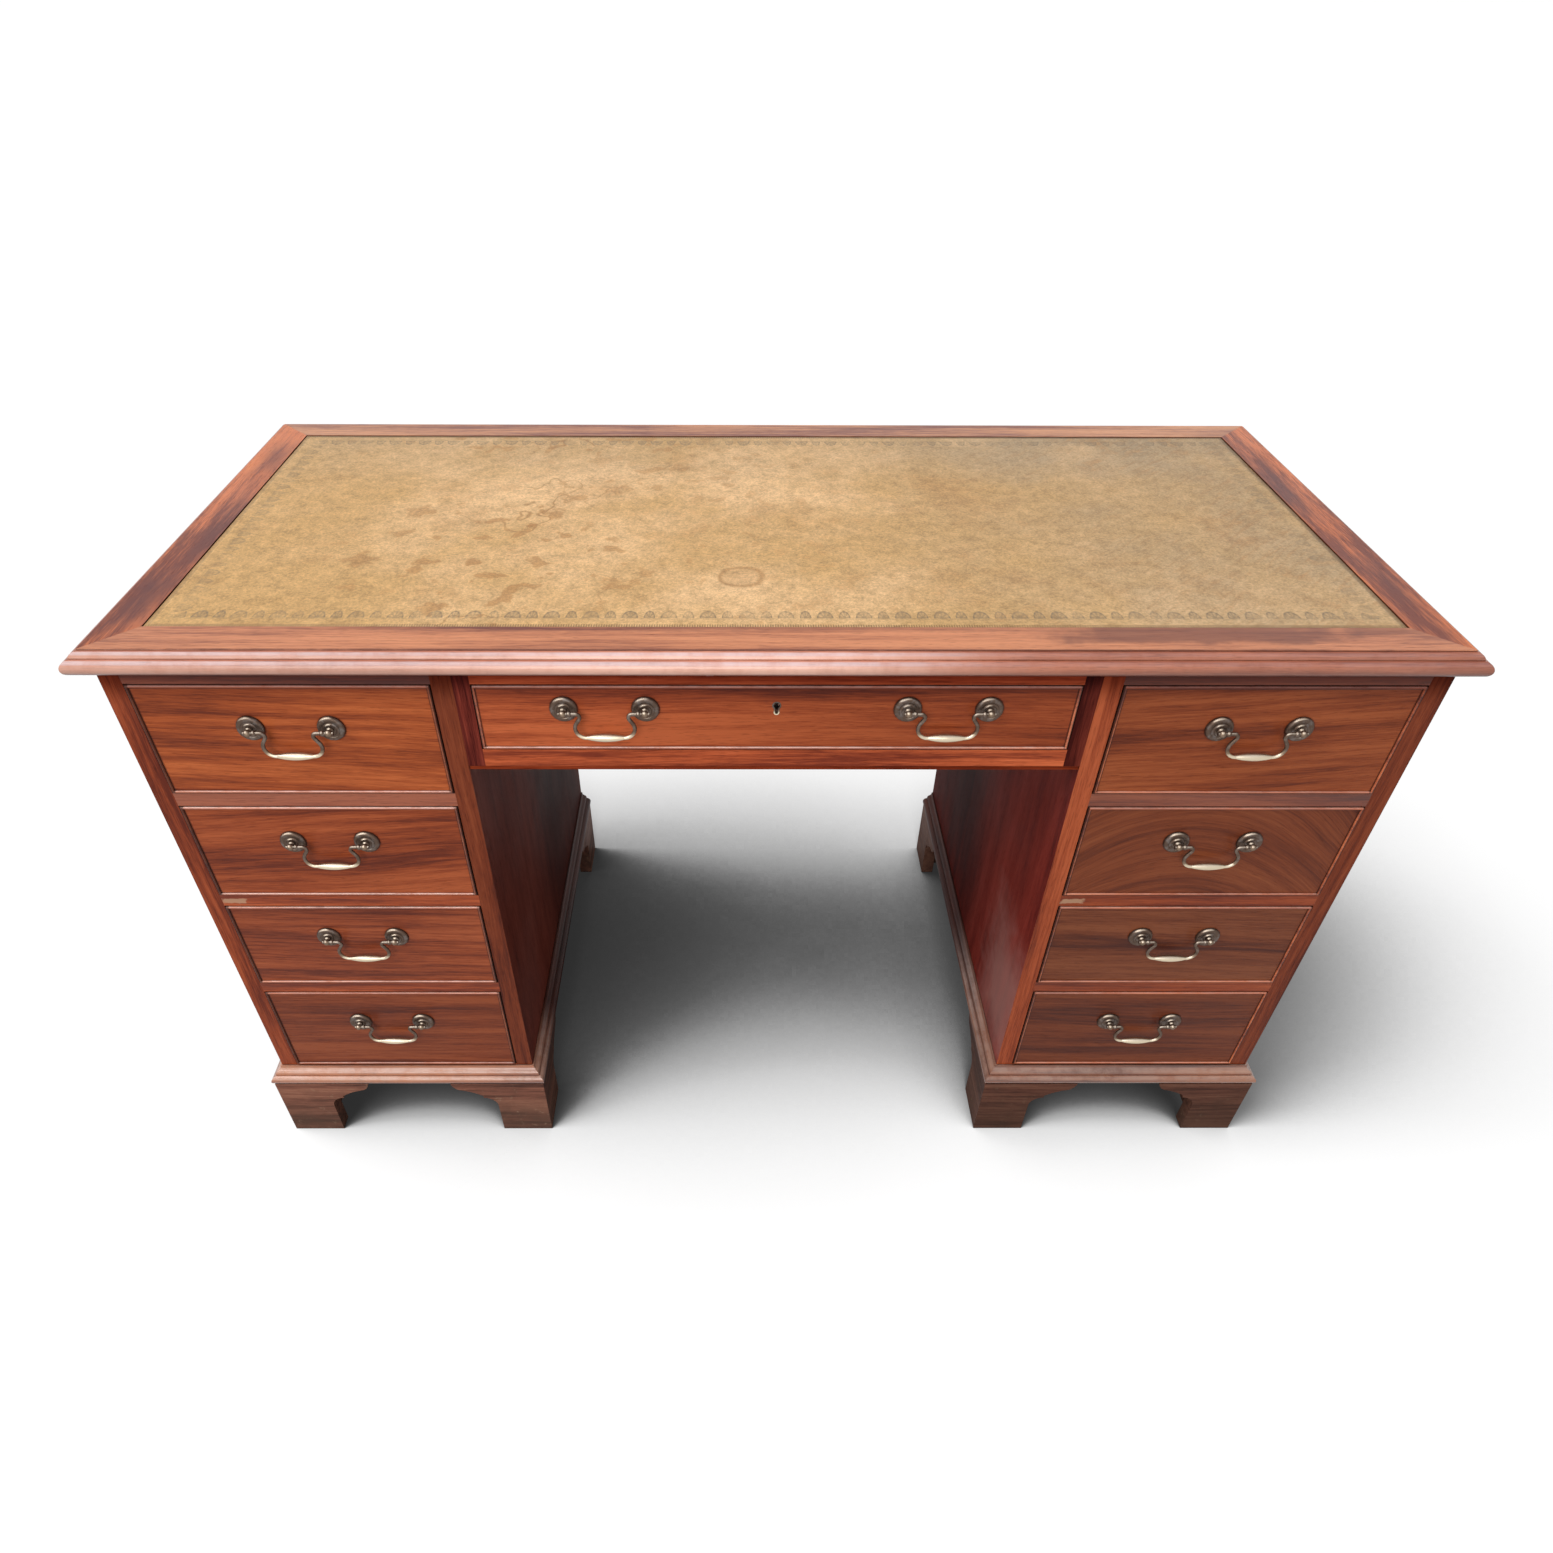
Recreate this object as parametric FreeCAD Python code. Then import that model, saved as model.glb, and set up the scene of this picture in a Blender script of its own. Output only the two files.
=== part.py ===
import FreeCAD
import Part
import math
import os
from collections import namedtuple

# Kneehole desk with nine drawers, in millimetres. X runs along the front, +Y to the back and +Z up.
# The origin is on the floor, midway along the desk and midway between its handles and its back edge.

# Carcase
kneehole_width = 637.0
bay_width = 300.5  # clear width between the two sides of a pedestal
side_thickness = 21.0
carcase_depth = 611.5
back_thickness = 10.0
back_rebate = 9.0
first_bay_height = 134.1
second_bay_height = 131.7
third_bay_height = 134.1
fourth_bay_height = 148.2
rail_height = 17.0
rail_depth = 45.0
top_rail_height = 10.0
bottom_board_thickness = 20.0
plinth_rail_thickness = 20.0
runner_width = 20.0
runner_height = 16.0
stop_width = 34.0
stop_depth = 12.0
stop_height = 5.0
stop_inset = 45.0  # from the side of the bay to the stop

# Section between the pedestals
centre_bay_height = 77.0
cheek_thickness = 17.3
centre_rail_height = 21.0
dust_board_thickness = 5.0
dust_board_setback = 1.0
frieze_back_thickness = 12.0

# Top
end_overhang = 25.0
front_overhang = 12.5
back_overhang = 26.0
top_thickness = 27.0
frame_width = 59.0
leather_thickness = 1.5
leather_recess = 0.4
panel_thickness = 20.0
tongue_length = 8.0
tongue_thickness = 7.0
edge_flat_setback = 15.0  # flat of the top behind the foremost line of its roll
edge_quirk = 1.2
edge_ovolo_drop = 5.0
edge_ovolo_rise = 1.5
edge_step = 1.0
edge_roll_radius = 8.0
edge_lower_setback = 12.0

# Base moulding and bracket feet
base_height = 26.0
base_projection = 15.5
base_reveal = 2.0  # bottom board that shows above the moulding
base_roll_radius = 6.5
base_step = 1.0
base_fillet = 2.0
base_fillet_height = 1.2
base_ogee_rise = 1.0
foot_height = 106.0
foot_width = 69.0
foot_setback = 2.0  # foot behind the foremost line of the moulding
bracket_reach = 128.0
bracket_thickness = 20.0
bracket_rise = 56.0  # upright edge of the foot below its scroll
bracket_cove_radius = 18.0
bracket_cusp = 4.0
bracket_nose_drop = 14.0
bracket_nose_length = 9.0
bracket_curve_rise = 2.0
rear_brace_reach = 96.0
rear_brace_thickness = 16.0
foot_block_size = 34.0
foot_block_lift = 6.0

# Drawers
drawer_play = 1.0
drawer_length = 560.0
front_thickness = 20.0
bead_thickness = 3.0
bead_depth = 7.0  # let into the edge of the front
bead_proud = 2.0
lining_thickness = 10.0
lining_drop = 6.0  # top of the sides below the top of the bay
back_drop = 10.0  # top of the back below the top of the sides
bottom_thickness = 6.0
bottom_lift = 9.0
groove_depth = 5.0
tail_pitch = 38.0
tail_lap = 7.0  # wood left in the front before the dovetails
pin_width = 6.0
tail_angle = 8.0
tail_margin = 3.0

# Swan-neck handles
handle_spacing = 81.5
handle_rise = 16.5  # posts above the middle of a pedestal's drawer front
centre_handle_rise = 11.0  # posts above the middle of the centre drawer's front
centre_handle_inset = 129.7  # middle of each handle of the centre drawer from the side of its bay
rose_diameter = 28.0
rose_rim = 1.6
rose_ovolo_width = 3.5
rose_ovolo_height = 2.6
rose_ovolo_rise = 0.9
rose_quirk = 1.0
rose_dish = 1.0
rose_hub_diameter = 12.0
rose_height = 5.2
shank_diameter = 5.0
stem_diameter = 7.6
neck_diameter = 5.4
stem_collar = 1.2
knuckle_diameter = 7.6
pivot_reach = 10.5  # axis of the bail from the drawer front
nut_width = 10.0
nut_thickness = 3.0
shank_tail = 2.0
hole_clearance = 0.1
bail_wire_diameter = 4.0
pin_clearance = 0.06
pin_end = 0.8  # pin beyond the far side of the knuckle
bail_drop = 28.0
bail_neck_setback = 12.5  # start of the upper bend from the post
upper_bend_radius = 4.0
lower_bend_radius = 11.0
neck_splay = 33.0
grip_diameter = 8.6
collar_diameter = 6.2  # swelling of the bail beside each knuckle
collar_length = 4.5
collar_gap = 0.3
swelling_sink = 0.08  # ends of a swelling under the skin of the wire

# Lock of the centre drawer
lock_width = 58.0
lock_height = 42.0
lock_depth = 11.0
bolt_width = 20.0
bolt_thickness = 5.0
bolt_height = 24.0
bolt_sink = 0.5  # top of the drawn bolt below the edge of the drawer
bolt_clearance = 0.3
mortise_depth = 8.6
keyhole_drop = 23.0
keyhole_radius = 3.2
keyhole_slot_width = 3.2
keyhole_slot_drop = 8.0
escutcheon_wall = 1.3
escutcheon_depth = 4.0
escutcheon_proud = 0.3

# Places worked out from the sizes above
kneehole_half = kneehole_width / 2
pedestal_width = bay_width + 2 * side_thickness
pedestal_middle = kneehole_half + pedestal_width / 2
desk_half = kneehole_half + pedestal_width + end_overhang
handle_reach = pivot_reach + max(knuckle_diameter, grip_diameter) / 2
front_y = (handle_reach - carcase_depth - back_overhang) / 2
back_y = front_y + carcase_depth
inner_back_y = back_y - back_thickness
top_front_y = front_y - front_overhang
top_back_y = back_y + back_overhang
base_top = foot_height + base_height
fourth_floor = base_top + base_reveal
third_floor = fourth_floor + fourth_bay_height + rail_height
second_floor = third_floor + third_bay_height + rail_height
first_floor = second_floor + second_bay_height + rail_height
bay_ceiling = first_floor + first_bay_height
underside = bay_ceiling + top_rail_height
desk_height = underside + top_thickness
centre_floor = bay_ceiling - centre_bay_height
dust_board_top = centre_floor - centre_rail_height
dust_board_bottom = dust_board_top - dust_board_thickness
centre_bay_half = kneehole_half - cheek_thickness
centre_handle_offset = centre_bay_half - centre_handle_inset
front_back_y = front_y + front_thickness
drawer_back_y = front_y + drawer_length
handle_half = handle_spacing / 2
leather_top = desk_height - leather_recess
panel_top = leather_top - leather_thickness
tongue_top = panel_top - (panel_thickness - tongue_thickness) / 2
margin = 5.0  # cutting solids run this far past what they cut

Bay = namedtuple("Bay", "name middle floor width height")


def vector(x, y, z):
    return FreeCAD.Vector(x, y, z)


def box(x_range, y_range, z_range):
    """Block between two places on each axis."""
    low = vector(min(x_range), min(y_range), min(z_range))
    high = vector(max(x_range), max(y_range), max(z_range))
    size = high - low
    return Part.makeBox(size.x, size.y, size.z, low)


def outline_face(path, place):
    """Face inside a closed path. A step is a corner, or a pair (through, end) for an arc."""
    edges = []
    here = path[0]
    for step in path[1:] + path[:1]:
        end = step
        if isinstance(step[0], tuple):
            through, end = step
            edges.append(Part.Arc(place(here), place(through), place(end)).toShape())
        elif here != end:
            edges.append(Part.makeLine(place(here), place(end)))
        here = end
    return Part.Face(Part.Wire(edges))


def bulge(start, end, rise):
    """Middle of an arc that stands off the line from start to end, to its left where rise is positive."""
    along = (end[0] - start[0], end[1] - start[1])
    length = math.hypot(*along)
    middle = ((start[0] + end[0]) / 2, (start[1] + end[1]) / 2)
    return (middle[0] - along[1] / length * rise, middle[1] + along[0] / length * rise)


def on_side(p):
    """Place a point (depth, height) on the YZ plane."""
    return vector(0, p[0], p[1])


def on_front(p):
    """Place a point (along, height) on the XZ plane."""
    return vector(p[0], 0, p[1])


def on_plan(p):
    """Place a point on the XY plane."""
    return vector(p[0], p[1], 0)


def prism(corners, low, high):
    """Upright prism over a plan outline."""
    shape = outline_face(corners, on_plan).extrude(vector(0, 0, high - low))
    shape.translate(vector(0, 0, low))
    return shape


def placed(shape, move, turn=0.0):
    """Copy of a shape, turned about Z in degrees and then moved."""
    copy = shape.copy()
    copy.rotate(vector(0, 0, 0), vector(0, 0, 1), turn)
    copy.translate(vector(*move))
    return copy


def mitred_strip(path, length, start_mitre=True, end_mitre=True):
    """Moulding along +X with its outer edge on Y = 0 and path given as (inward, height)."""
    bar = outline_face(path, on_side).extrude(vector(length, 0, 0))
    heights = [step[1] for step in path if not isinstance(step[0], tuple)]
    reach = max(step[0] for step in path if not isinstance(step[0], tuple)) + margin
    start = 1 if start_mitre else 0
    end = 1 if end_mitre else 0
    plan = [
        (-margin * start, -margin),
        (length + margin * end, -margin),
        (length - reach * end, reach),
        (reach * start, reach),
    ]
    return bar.common(prism(plan, min(heights) - margin, max(heights) + margin))


def export(name, shapes):
    """Write the solids of one piece, or of a group of like pieces."""
    solids = [solid for shape in shapes for solid in shape.Solids]
    Part.makeCompound(solids).exportStep(f"parts/{name}.step")


# Top

def top_edge_path():
    """Section of the frame round the leather: groove inside, ovolo over a roll outside."""
    roll_top = -(edge_quirk + edge_ovolo_drop + edge_step)
    roll_bottom = roll_top - 2 * edge_roll_radius
    ovolo_start = (edge_flat_setback, -edge_quirk)
    ovolo_end = (edge_roll_radius, -edge_quirk - edge_ovolo_drop)
    groove_end = frame_width - tongue_length
    groove_top = tongue_top - desk_height
    groove_bottom = groove_top - tongue_thickness
    return [
        (frame_width, 0.0),
        (edge_flat_setback, 0.0),
        ovolo_start,
        (bulge(ovolo_start, ovolo_end, -edge_ovolo_rise), ovolo_end),
        (edge_roll_radius, roll_top),
        ((0.0, roll_top - edge_roll_radius), (edge_roll_radius, roll_bottom)),
        (edge_lower_setback, roll_bottom),
        (edge_lower_setback, -top_thickness),
        (frame_width, -top_thickness),
        (frame_width, groove_bottom),
        (groove_end, groove_bottom),
        (groove_end, groove_top),
        (frame_width, groove_top),
    ]


def make_top():
    """Four mitred boards, the panel that they hold by a tongue, and the leather on it."""
    path = top_edge_path()
    long_board = mitred_strip(path, 2 * desk_half)
    short_board = mitred_strip(path, top_back_y - top_front_y)
    export("top_front_moulding", [placed(long_board, (-desk_half, top_front_y, desk_height))])
    export("top_back_moulding", [placed(long_board, (desk_half, top_back_y, desk_height), 180)])
    right_end = placed(short_board, (desk_half, top_front_y, desk_height), 90)
    left_end = placed(short_board, (-desk_half, top_back_y, desk_height), -90)
    export("top_end_mouldings", [left_end, right_end])

    inner_half = desk_half - frame_width
    inner_y = (top_front_y + frame_width, top_back_y - frame_width)
    panel = box((-inner_half, inner_half), inner_y, (panel_top - panel_thickness, panel_top))
    tongue_half = inner_half + tongue_length
    tongue_y = (inner_y[0] - tongue_length, inner_y[1] + tongue_length)
    tongue = box((-tongue_half, tongue_half), tongue_y, (tongue_top - tongue_thickness, tongue_top))
    export("top_panel", [panel.fuse(tongue).removeSplitter()])
    export("leather_inset", [box((-inner_half, inner_half), inner_y, (panel_top, leather_top))])


# Pedestals

def pedestal_bays(name, middle):
    """The four drawer bays of one pedestal, from the top."""
    stack = [
        (first_floor, first_bay_height),
        (second_floor, second_bay_height),
        (third_floor, third_bay_height),
        (fourth_floor, fourth_bay_height),
    ]
    return [
        Bay(f"{name}_drawer_{level}", middle, floor, bay_width, height)
        for level, (floor, height) in enumerate(stack, start=1)
    ]


def make_side(name, middle, hand):
    """One upright side, rebated for the back. Hand is the side of the pedestal's middle, -1 or 1."""
    inner = middle + hand * bay_width / 2
    outer = middle + hand * pedestal_width / 2
    board = box((inner, outer), (front_y, back_y), (foot_height, underside))
    rebate_x = (inner - hand * margin, inner + hand * back_rebate)
    rebate = box(rebate_x, (inner_back_y, back_y + margin), (foot_height - margin, underside + margin))
    export(name, [board.cut(rebate)])


def pedestal_back(middle):
    """Back panel, held in the rebates of the two sides."""
    half = bay_width / 2 + back_rebate
    return box((middle - half, middle + half), (inner_back_y, back_y), (foot_height, underside))


def make_rails(name, middle):
    """Top rail, the three dividers, the bottom board and the plinth rail below it."""
    bay_x = (middle - bay_width / 2, middle + bay_width / 2)
    rail_y = (front_y, front_y + rail_depth)
    rails = [box(bay_x, rail_y, (bay_ceiling, underside))]
    for floor in (first_floor, second_floor, third_floor):
        rails.append(box(bay_x, rail_y, (floor - rail_height, floor)))
    board_bottom = fourth_floor - bottom_board_thickness
    rails.append(box(bay_x, (front_y, inner_back_y), (board_bottom, fourth_floor)))
    rails.append(box(bay_x, (front_y, front_y + plinth_rail_thickness), (foot_height, board_bottom)))
    export(name, rails)


def drawer_stops(bay):
    """Two small blocks that meet the back of a closed drawer front."""
    stops = []
    for hand in (-1, 1):
        outer = bay.middle + hand * (bay.width / 2 - stop_inset)
        stop_x = (outer, outer - hand * stop_width)
        stop_y = (front_back_y, front_back_y + stop_depth)
        stops.append(box(stop_x, stop_y, (bay.floor, bay.floor + stop_height)))
    return stops


def runner_pair(middle, width, top, height, end_y):
    """Two bars behind a rail, one along each side of a bay."""
    bars = []
    bar_y = (front_y + rail_depth, end_y)
    for hand in (-1, 1):
        wall = middle + hand * width / 2
        bars.append(box((wall, wall - hand * runner_width), bar_y, (top - height, top)))
    return bars


def make_runners(name, middle, bays):
    """Runners under the upper three drawers, kickers over the first, and the stops of all four."""
    pieces = runner_pair(middle, bay_width, underside, top_rail_height, inner_back_y)
    for floor in (first_floor, second_floor, third_floor):
        pieces += runner_pair(middle, bay_width, floor, runner_height, inner_back_y)
    for bay in bays:
        pieces += drawer_stops(bay)
    export(name, pieces)


def base_path():
    """Section of the base moulding: a roll below an ogee, measured in from the foremost line."""
    roll_top = 2 * base_roll_radius
    ogee_start = (base_roll_radius, roll_top + base_step)
    ogee_end = (base_projection - base_fillet, base_height - base_fillet_height)
    ogee_middle = ((ogee_start[0] + ogee_end[0]) / 2, (ogee_start[1] + ogee_end[1]) / 2)
    return [
        (base_projection, 0.0),
        (base_roll_radius, 0.0),
        ((0.0, base_roll_radius), (base_roll_radius, roll_top)),
        ogee_start,
        (bulge(ogee_start, ogee_middle, base_ogee_rise), ogee_middle),
        (bulge(ogee_middle, ogee_end, -base_ogee_rise), ogee_end),
        (base_projection - base_fillet, base_height),
        (base_projection, base_height),
    ]


def make_base_moulding(name, middle):
    """Moulding along the front and both sides of a pedestal, mitred at the front corners."""
    path = base_path()
    left = middle - pedestal_width / 2 - base_projection
    right = middle + pedestal_width / 2 + base_projection
    corner_y = front_y - base_projection
    front = mitred_strip(path, right - left)
    right_side = mitred_strip(path, back_y - corner_y, True, False)
    left_side = mitred_strip(path, back_y - corner_y, False, True)
    export(name, [
        placed(front, (left, corner_y, foot_height)),
        placed(right_side, (right, corner_y, foot_height), 90),
        placed(left_side, (left, back_y, foot_height), -90),
    ])


def bracket_path():
    """Scroll of a bracket foot, from its corner: upright edge, cove, cusp, long curve and nose."""
    cove_end = (foot_width + bracket_cove_radius, bracket_rise + bracket_cove_radius)
    cove_lean = bracket_cove_radius * (1 - math.sqrt(0.5))
    cove_through = (foot_width + cove_lean, cove_end[1] - cove_lean)
    curve_start = (cove_end[0], cove_end[1] + bracket_cusp)
    nose_start = (bracket_reach - bracket_nose_length, foot_height - bracket_nose_drop)
    nose_end = (bracket_reach, foot_height)
    return [
        (0.0, 0.0),
        (foot_width, 0.0),
        (foot_width, bracket_rise),
        (cove_through, cove_end),
        curve_start,
        (bulge(curve_start, nose_start, bracket_curve_rise), nose_start),
        (bulge(nose_start, nose_end, -bracket_curve_rise), nose_end),
        (0.0, foot_height),
    ]


def bracket(mitred):
    """Bracket along +X from its corner, with its outer face on Y = 0."""
    board = outline_face(bracket_path(), on_front).extrude(vector(0, bracket_thickness, 0))
    if not mitred:
        return board
    reach = bracket_thickness + margin
    far = bracket_reach + margin
    plan = [(-margin, -margin), (far, -margin), (far, reach), (reach, reach)]
    return board.common(prism(plan, -margin, foot_height + margin))


def swapped(shape):
    """Copy of a shape with its X and Y changed over."""
    copy = shape.mirror(vector(0, 0, 0), vector(1, 0, 0))
    copy.rotate(vector(0, 0, 0), vector(0, 0, 1), -90)
    return copy


def foot_block():
    """Glue block in the corner behind two brackets."""
    reach = (bracket_thickness, bracket_thickness + foot_block_size)
    return box(reach, reach, (foot_block_lift, foot_height))


def front_foot():
    """Two brackets mitred at the corner X = 0, Y = 0, and their block."""
    piece = bracket(True)
    return [piece, swapped(piece), foot_block()]


def rear_foot():
    """Bracket of the side, square at the back, with a plain sloping brace behind it and a block."""
    side = swapped(bracket(False))
    path = [
        (bracket_thickness, 0.0),
        (foot_width, 0.0),
        (rear_brace_reach, foot_height),
        (bracket_thickness, foot_height),
    ]
    brace = outline_face(path, on_front).extrude(vector(0, rear_brace_thickness, 0))
    block_x = (bracket_thickness, bracket_thickness + foot_block_size)
    block_y = (rear_brace_thickness, rear_brace_thickness + foot_block_size)
    return [side, brace, box(block_x, block_y, (foot_block_lift, foot_height))]


def make_feet(name, middle):
    """Four feet of one pedestal, those in front under the mitres and those behind flush with the back."""
    out = pedestal_width / 2 + base_projection - foot_setback
    front = front_y - base_projection + foot_setback
    across = vector(1, 0, 0)
    along = vector(0, 1, 0)
    middle_point = vector(0, 0, 0)
    feet = []
    for piece in front_foot():
        feet.append(placed(piece, (middle - out, front, 0)))
        feet.append(placed(piece.mirror(middle_point, across), (middle + out, front, 0)))
    for piece in rear_foot():
        turned = piece.mirror(middle_point, along)
        feet.append(placed(turned, (middle - out, back_y, 0)))
        feet.append(placed(turned.mirror(middle_point, across), (middle + out, back_y, 0)))
    export(name, feet)


# Section between the pedestals

def make_centre(bay):
    """Cheeks, rails, back and runners of the middle section, and the dust board under them."""
    frieze_y = back_y - frieze_back_thickness
    rail_y = (front_y, front_y + rail_depth)
    inside = (-centre_bay_half, centre_bay_half)
    pieces = []
    for hand in (-1, 1):
        cheek_x = (hand * centre_bay_half, hand * kneehole_half)
        pieces.append(box(cheek_x, (front_y, frieze_y), (dust_board_top, underside)))
    pieces.append(box(inside, rail_y, (dust_board_top, centre_floor)))
    mortise_half = bolt_width / 2 + bolt_clearance
    bolt_low, bolt_high = bolt_y_range()
    mortise_y = (bolt_low - bolt_clearance, bolt_high + bolt_clearance)
    mortise_z = (bay_ceiling - margin, bay_ceiling + mortise_depth)
    mortise = box((-mortise_half, mortise_half), mortise_y, mortise_z)
    pieces.append(box(inside, rail_y, (bay_ceiling, underside)).cut(mortise))
    back_x = (-kneehole_half, kneehole_half)
    pieces.append(box(back_x, (frieze_y, back_y), (dust_board_bottom, underside)))
    pieces += runner_pair(0.0, bay.width, centre_floor, centre_rail_height, frieze_y)
    pieces += runner_pair(0.0, bay.width, underside, top_rail_height, frieze_y)
    pieces += drawer_stops(bay)
    export("centre_frame", pieces)
    board_y = (front_y + dust_board_setback, frieze_y)
    export("centre_dust_board", [box(back_x, board_y, (dust_board_bottom, dust_board_top))])


# Drawers

def front_extent(bay):
    """Half width, bottom and top of a drawer front, its beads included."""
    return bay.width / 2 - drawer_play, bay.floor + drawer_play, bay.floor + bay.height - drawer_play


def bead_strips(bay):
    """Four mitred cock beads round a drawer front, each with a rounded nose."""
    half, low, high = front_extent(bay)
    nose = bead_thickness / 2
    path = [
        (0.0, -bead_depth),
        (0.0, bead_proud - nose),
        ((nose, bead_proud), (bead_thickness, bead_proud - nose)),
        (bead_thickness, -bead_depth),
    ]
    long_strip = mitred_strip(path, 2 * half)
    short_strip = mitred_strip(path, high - low)
    middle = (low + high) / 2
    rise = (high - low) / 2
    strips = [
        placed(long_strip, (-half, -rise, 0)),
        placed(short_strip, (half, -rise, 0), 90),
        placed(long_strip, (half, rise, 0), 180),
        placed(short_strip, (-half, rise, 0), -90),
    ]
    for strip in strips:
        strip.rotate(vector(0, 0, 0), vector(1, 0, 0), 90)
        strip.translate(vector(bay.middle, front_y, middle))
    return strips


def dovetails(bay, low, high, base_y, tip_y):
    """Tails of both drawer sides between two heights, narrow at base_y and wide at tip_y."""
    length = abs(tip_y - base_y)
    count = max(2, round((high - low) / tail_pitch))
    pitch = (high - low) / count
    tip_half = (pitch - pin_width) / 2
    base_half = tip_half - length * math.tan(math.radians(tail_angle))
    outer, _, _ = front_extent(bay)
    tails = {-1: [], 1: []}
    for index in range(count):
        middle = low + (index + 0.5) * pitch
        path = [
            (base_y, middle - base_half),
            (tip_y, middle - tip_half),
            (tip_y, middle + tip_half),
            (base_y, middle + base_half),
        ]
        for hand in (-1, 1):
            tail = outline_face(path, on_side).extrude(vector(hand * lining_thickness, 0, 0))
            tail.translate(vector(bay.middle + hand * (outer - lining_thickness), 0, 0))
            tails[hand].append(tail)
    return tails


def post_places(bay):
    """Middle of each handle of a drawer along X, and the height of its posts."""
    _, low, high = front_extent(bay)
    middle = (low + high) / 2
    if bay.name == "centre_drawer":
        handles = [bay.middle - centre_handle_offset, bay.middle + centre_handle_offset]
        return handles, middle + centre_handle_rise
    return [bay.middle], middle + handle_rise


def make_drawer(bay):
    """Front with beads, and a box of two dovetailed sides, a back and a bottom."""
    half, low, high = front_extent(bay)
    side_top = bay.floor + bay.height - lining_drop
    bottom_low = bay.floor + bottom_lift
    bottom_high = bottom_low + bottom_thickness
    inner = half - lining_thickness
    x_of = bay.middle

    core_y = (front_y + bead_depth, front_back_y)
    core = box((x_of - half, x_of + half), core_y, (low, high))
    face_half = half - bead_thickness
    face_z = (low + bead_thickness, high - bead_thickness)
    face = box((x_of - face_half, x_of + face_half), (front_y, core_y[0]), face_z)
    front_tails = dovetails(bay, low + tail_margin, side_top - tail_margin, front_back_y, front_y + tail_lap)

    back_y_range = (drawer_back_y - lining_thickness, drawer_back_y)
    back_top = side_top - back_drop
    back = box((x_of - half, x_of + half), back_y_range, (bottom_high, back_top))
    back_tails = dovetails(bay, bottom_high, back_top, back_y_range[0], back_y_range[1])
    back = back.cut(back_tails[-1] + back_tails[1])

    bottom_half = inner + groove_depth
    bottom_y = (front_back_y - groove_depth, drawer_back_y)
    bottom = box((x_of - bottom_half, x_of + bottom_half), bottom_y, (bottom_low, bottom_high))

    front = core.fuse(face).removeSplitter()
    front = front.cut(front_tails[-1] + front_tails[1] + [bottom])
    handles, post_height = post_places(bay)
    for middle in handles:
        for hand in (-1, 1):
            hole = front_hole(middle + hand * handle_half, post_height, shank_diameter / 2 + hole_clearance)
            front = front.cut(hole)
    if bay.name == "centre_drawer":
        front = front.cut(lock_cuts(bay))
    export(f"{bay.name}_front", [front] + bead_strips(bay))

    linings = [bottom, back]
    for hand in (-1, 1):
        side_x = (x_of + hand * inner, x_of + hand * half)
        side = box(side_x, (front_back_y, drawer_back_y), (bay.floor, side_top))
        side = side.fuse(front_tails[hand]).removeSplitter()
        linings.append(side.cut([bottom, back]))
    export(f"{bay.name}_box", linings)


def front_hole(x, z, radius):
    """Cylinder through a drawer front."""
    start = vector(x, front_y - margin, z)
    return Part.makeCylinder(radius, front_thickness + 2 * margin, start, vector(0, 1, 0))


# Handles

def turned(path):
    """Solid turned about the axis of a post, from a path given as (radius, distance out)."""
    face = outline_face(path, lambda p: vector(p[0], -p[1], 0))
    return face.revolve(vector(0, 0, 0), vector(0, 1, 0), 360)


def rose():
    """Turned plate behind a post: rim, ovolo, quirk, dished face and hub."""
    rim = rose_diameter / 2
    bore = shank_diameter / 2 + hole_clearance
    hub = rose_hub_diameter / 2
    ovolo_start = (rim, rose_rim)
    ovolo_end = (rim - rose_ovolo_width, rose_rim + rose_ovolo_height)
    dish_start = (ovolo_end[0] - rose_quirk, ovolo_end[1])
    dish_end = (hub, rose_height)
    return turned([
        (bore, 0.0),
        (rim, 0.0),
        ovolo_start,
        (bulge(ovolo_start, ovolo_end, -rose_ovolo_rise), ovolo_end),
        dish_start,
        (bulge(dish_start, dish_end, rose_dish), dish_end),
        (bore, rose_height),
    ])


def post():
    """Stem with a shank through the drawer front and a round knuckle bored for the bail."""
    shank = shank_diameter / 2
    stem = stem_diameter / 2
    neck = neck_diameter / 2
    knuckle = knuckle_diameter / 2
    shank_end = -(front_thickness + nut_thickness + shank_tail)
    collar = (stem, rose_height + stem_collar)
    neck_end = (neck, pivot_reach - math.sqrt(knuckle ** 2 - neck ** 2))
    shape = turned([
        (0.0, shank_end),
        (shank, shank_end),
        (shank, rose_height),
        (stem, rose_height),
        collar,
        neck_end,
        ((knuckle, pivot_reach), (0.0, pivot_reach + knuckle)),
    ])
    radius = bail_wire_diameter / 2 + pin_clearance
    start = vector(-knuckle_diameter, -pivot_reach, 0)
    return shape.cut(Part.makeCylinder(radius, 2 * knuckle_diameter, start, vector(1, 0, 0)))


def nut():
    """Square nut on the shank, against the back of the drawer front."""
    half = nut_width / 2
    plate = box((-half, half), (front_thickness, front_thickness + nut_thickness), (-half, half))
    radius = shank_diameter / 2 + hole_clearance
    start = vector(0, front_thickness - margin, 0)
    return plate.cut(Part.makeCylinder(radius, nut_thickness + 2 * margin, start, vector(0, 1, 0)))


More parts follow.
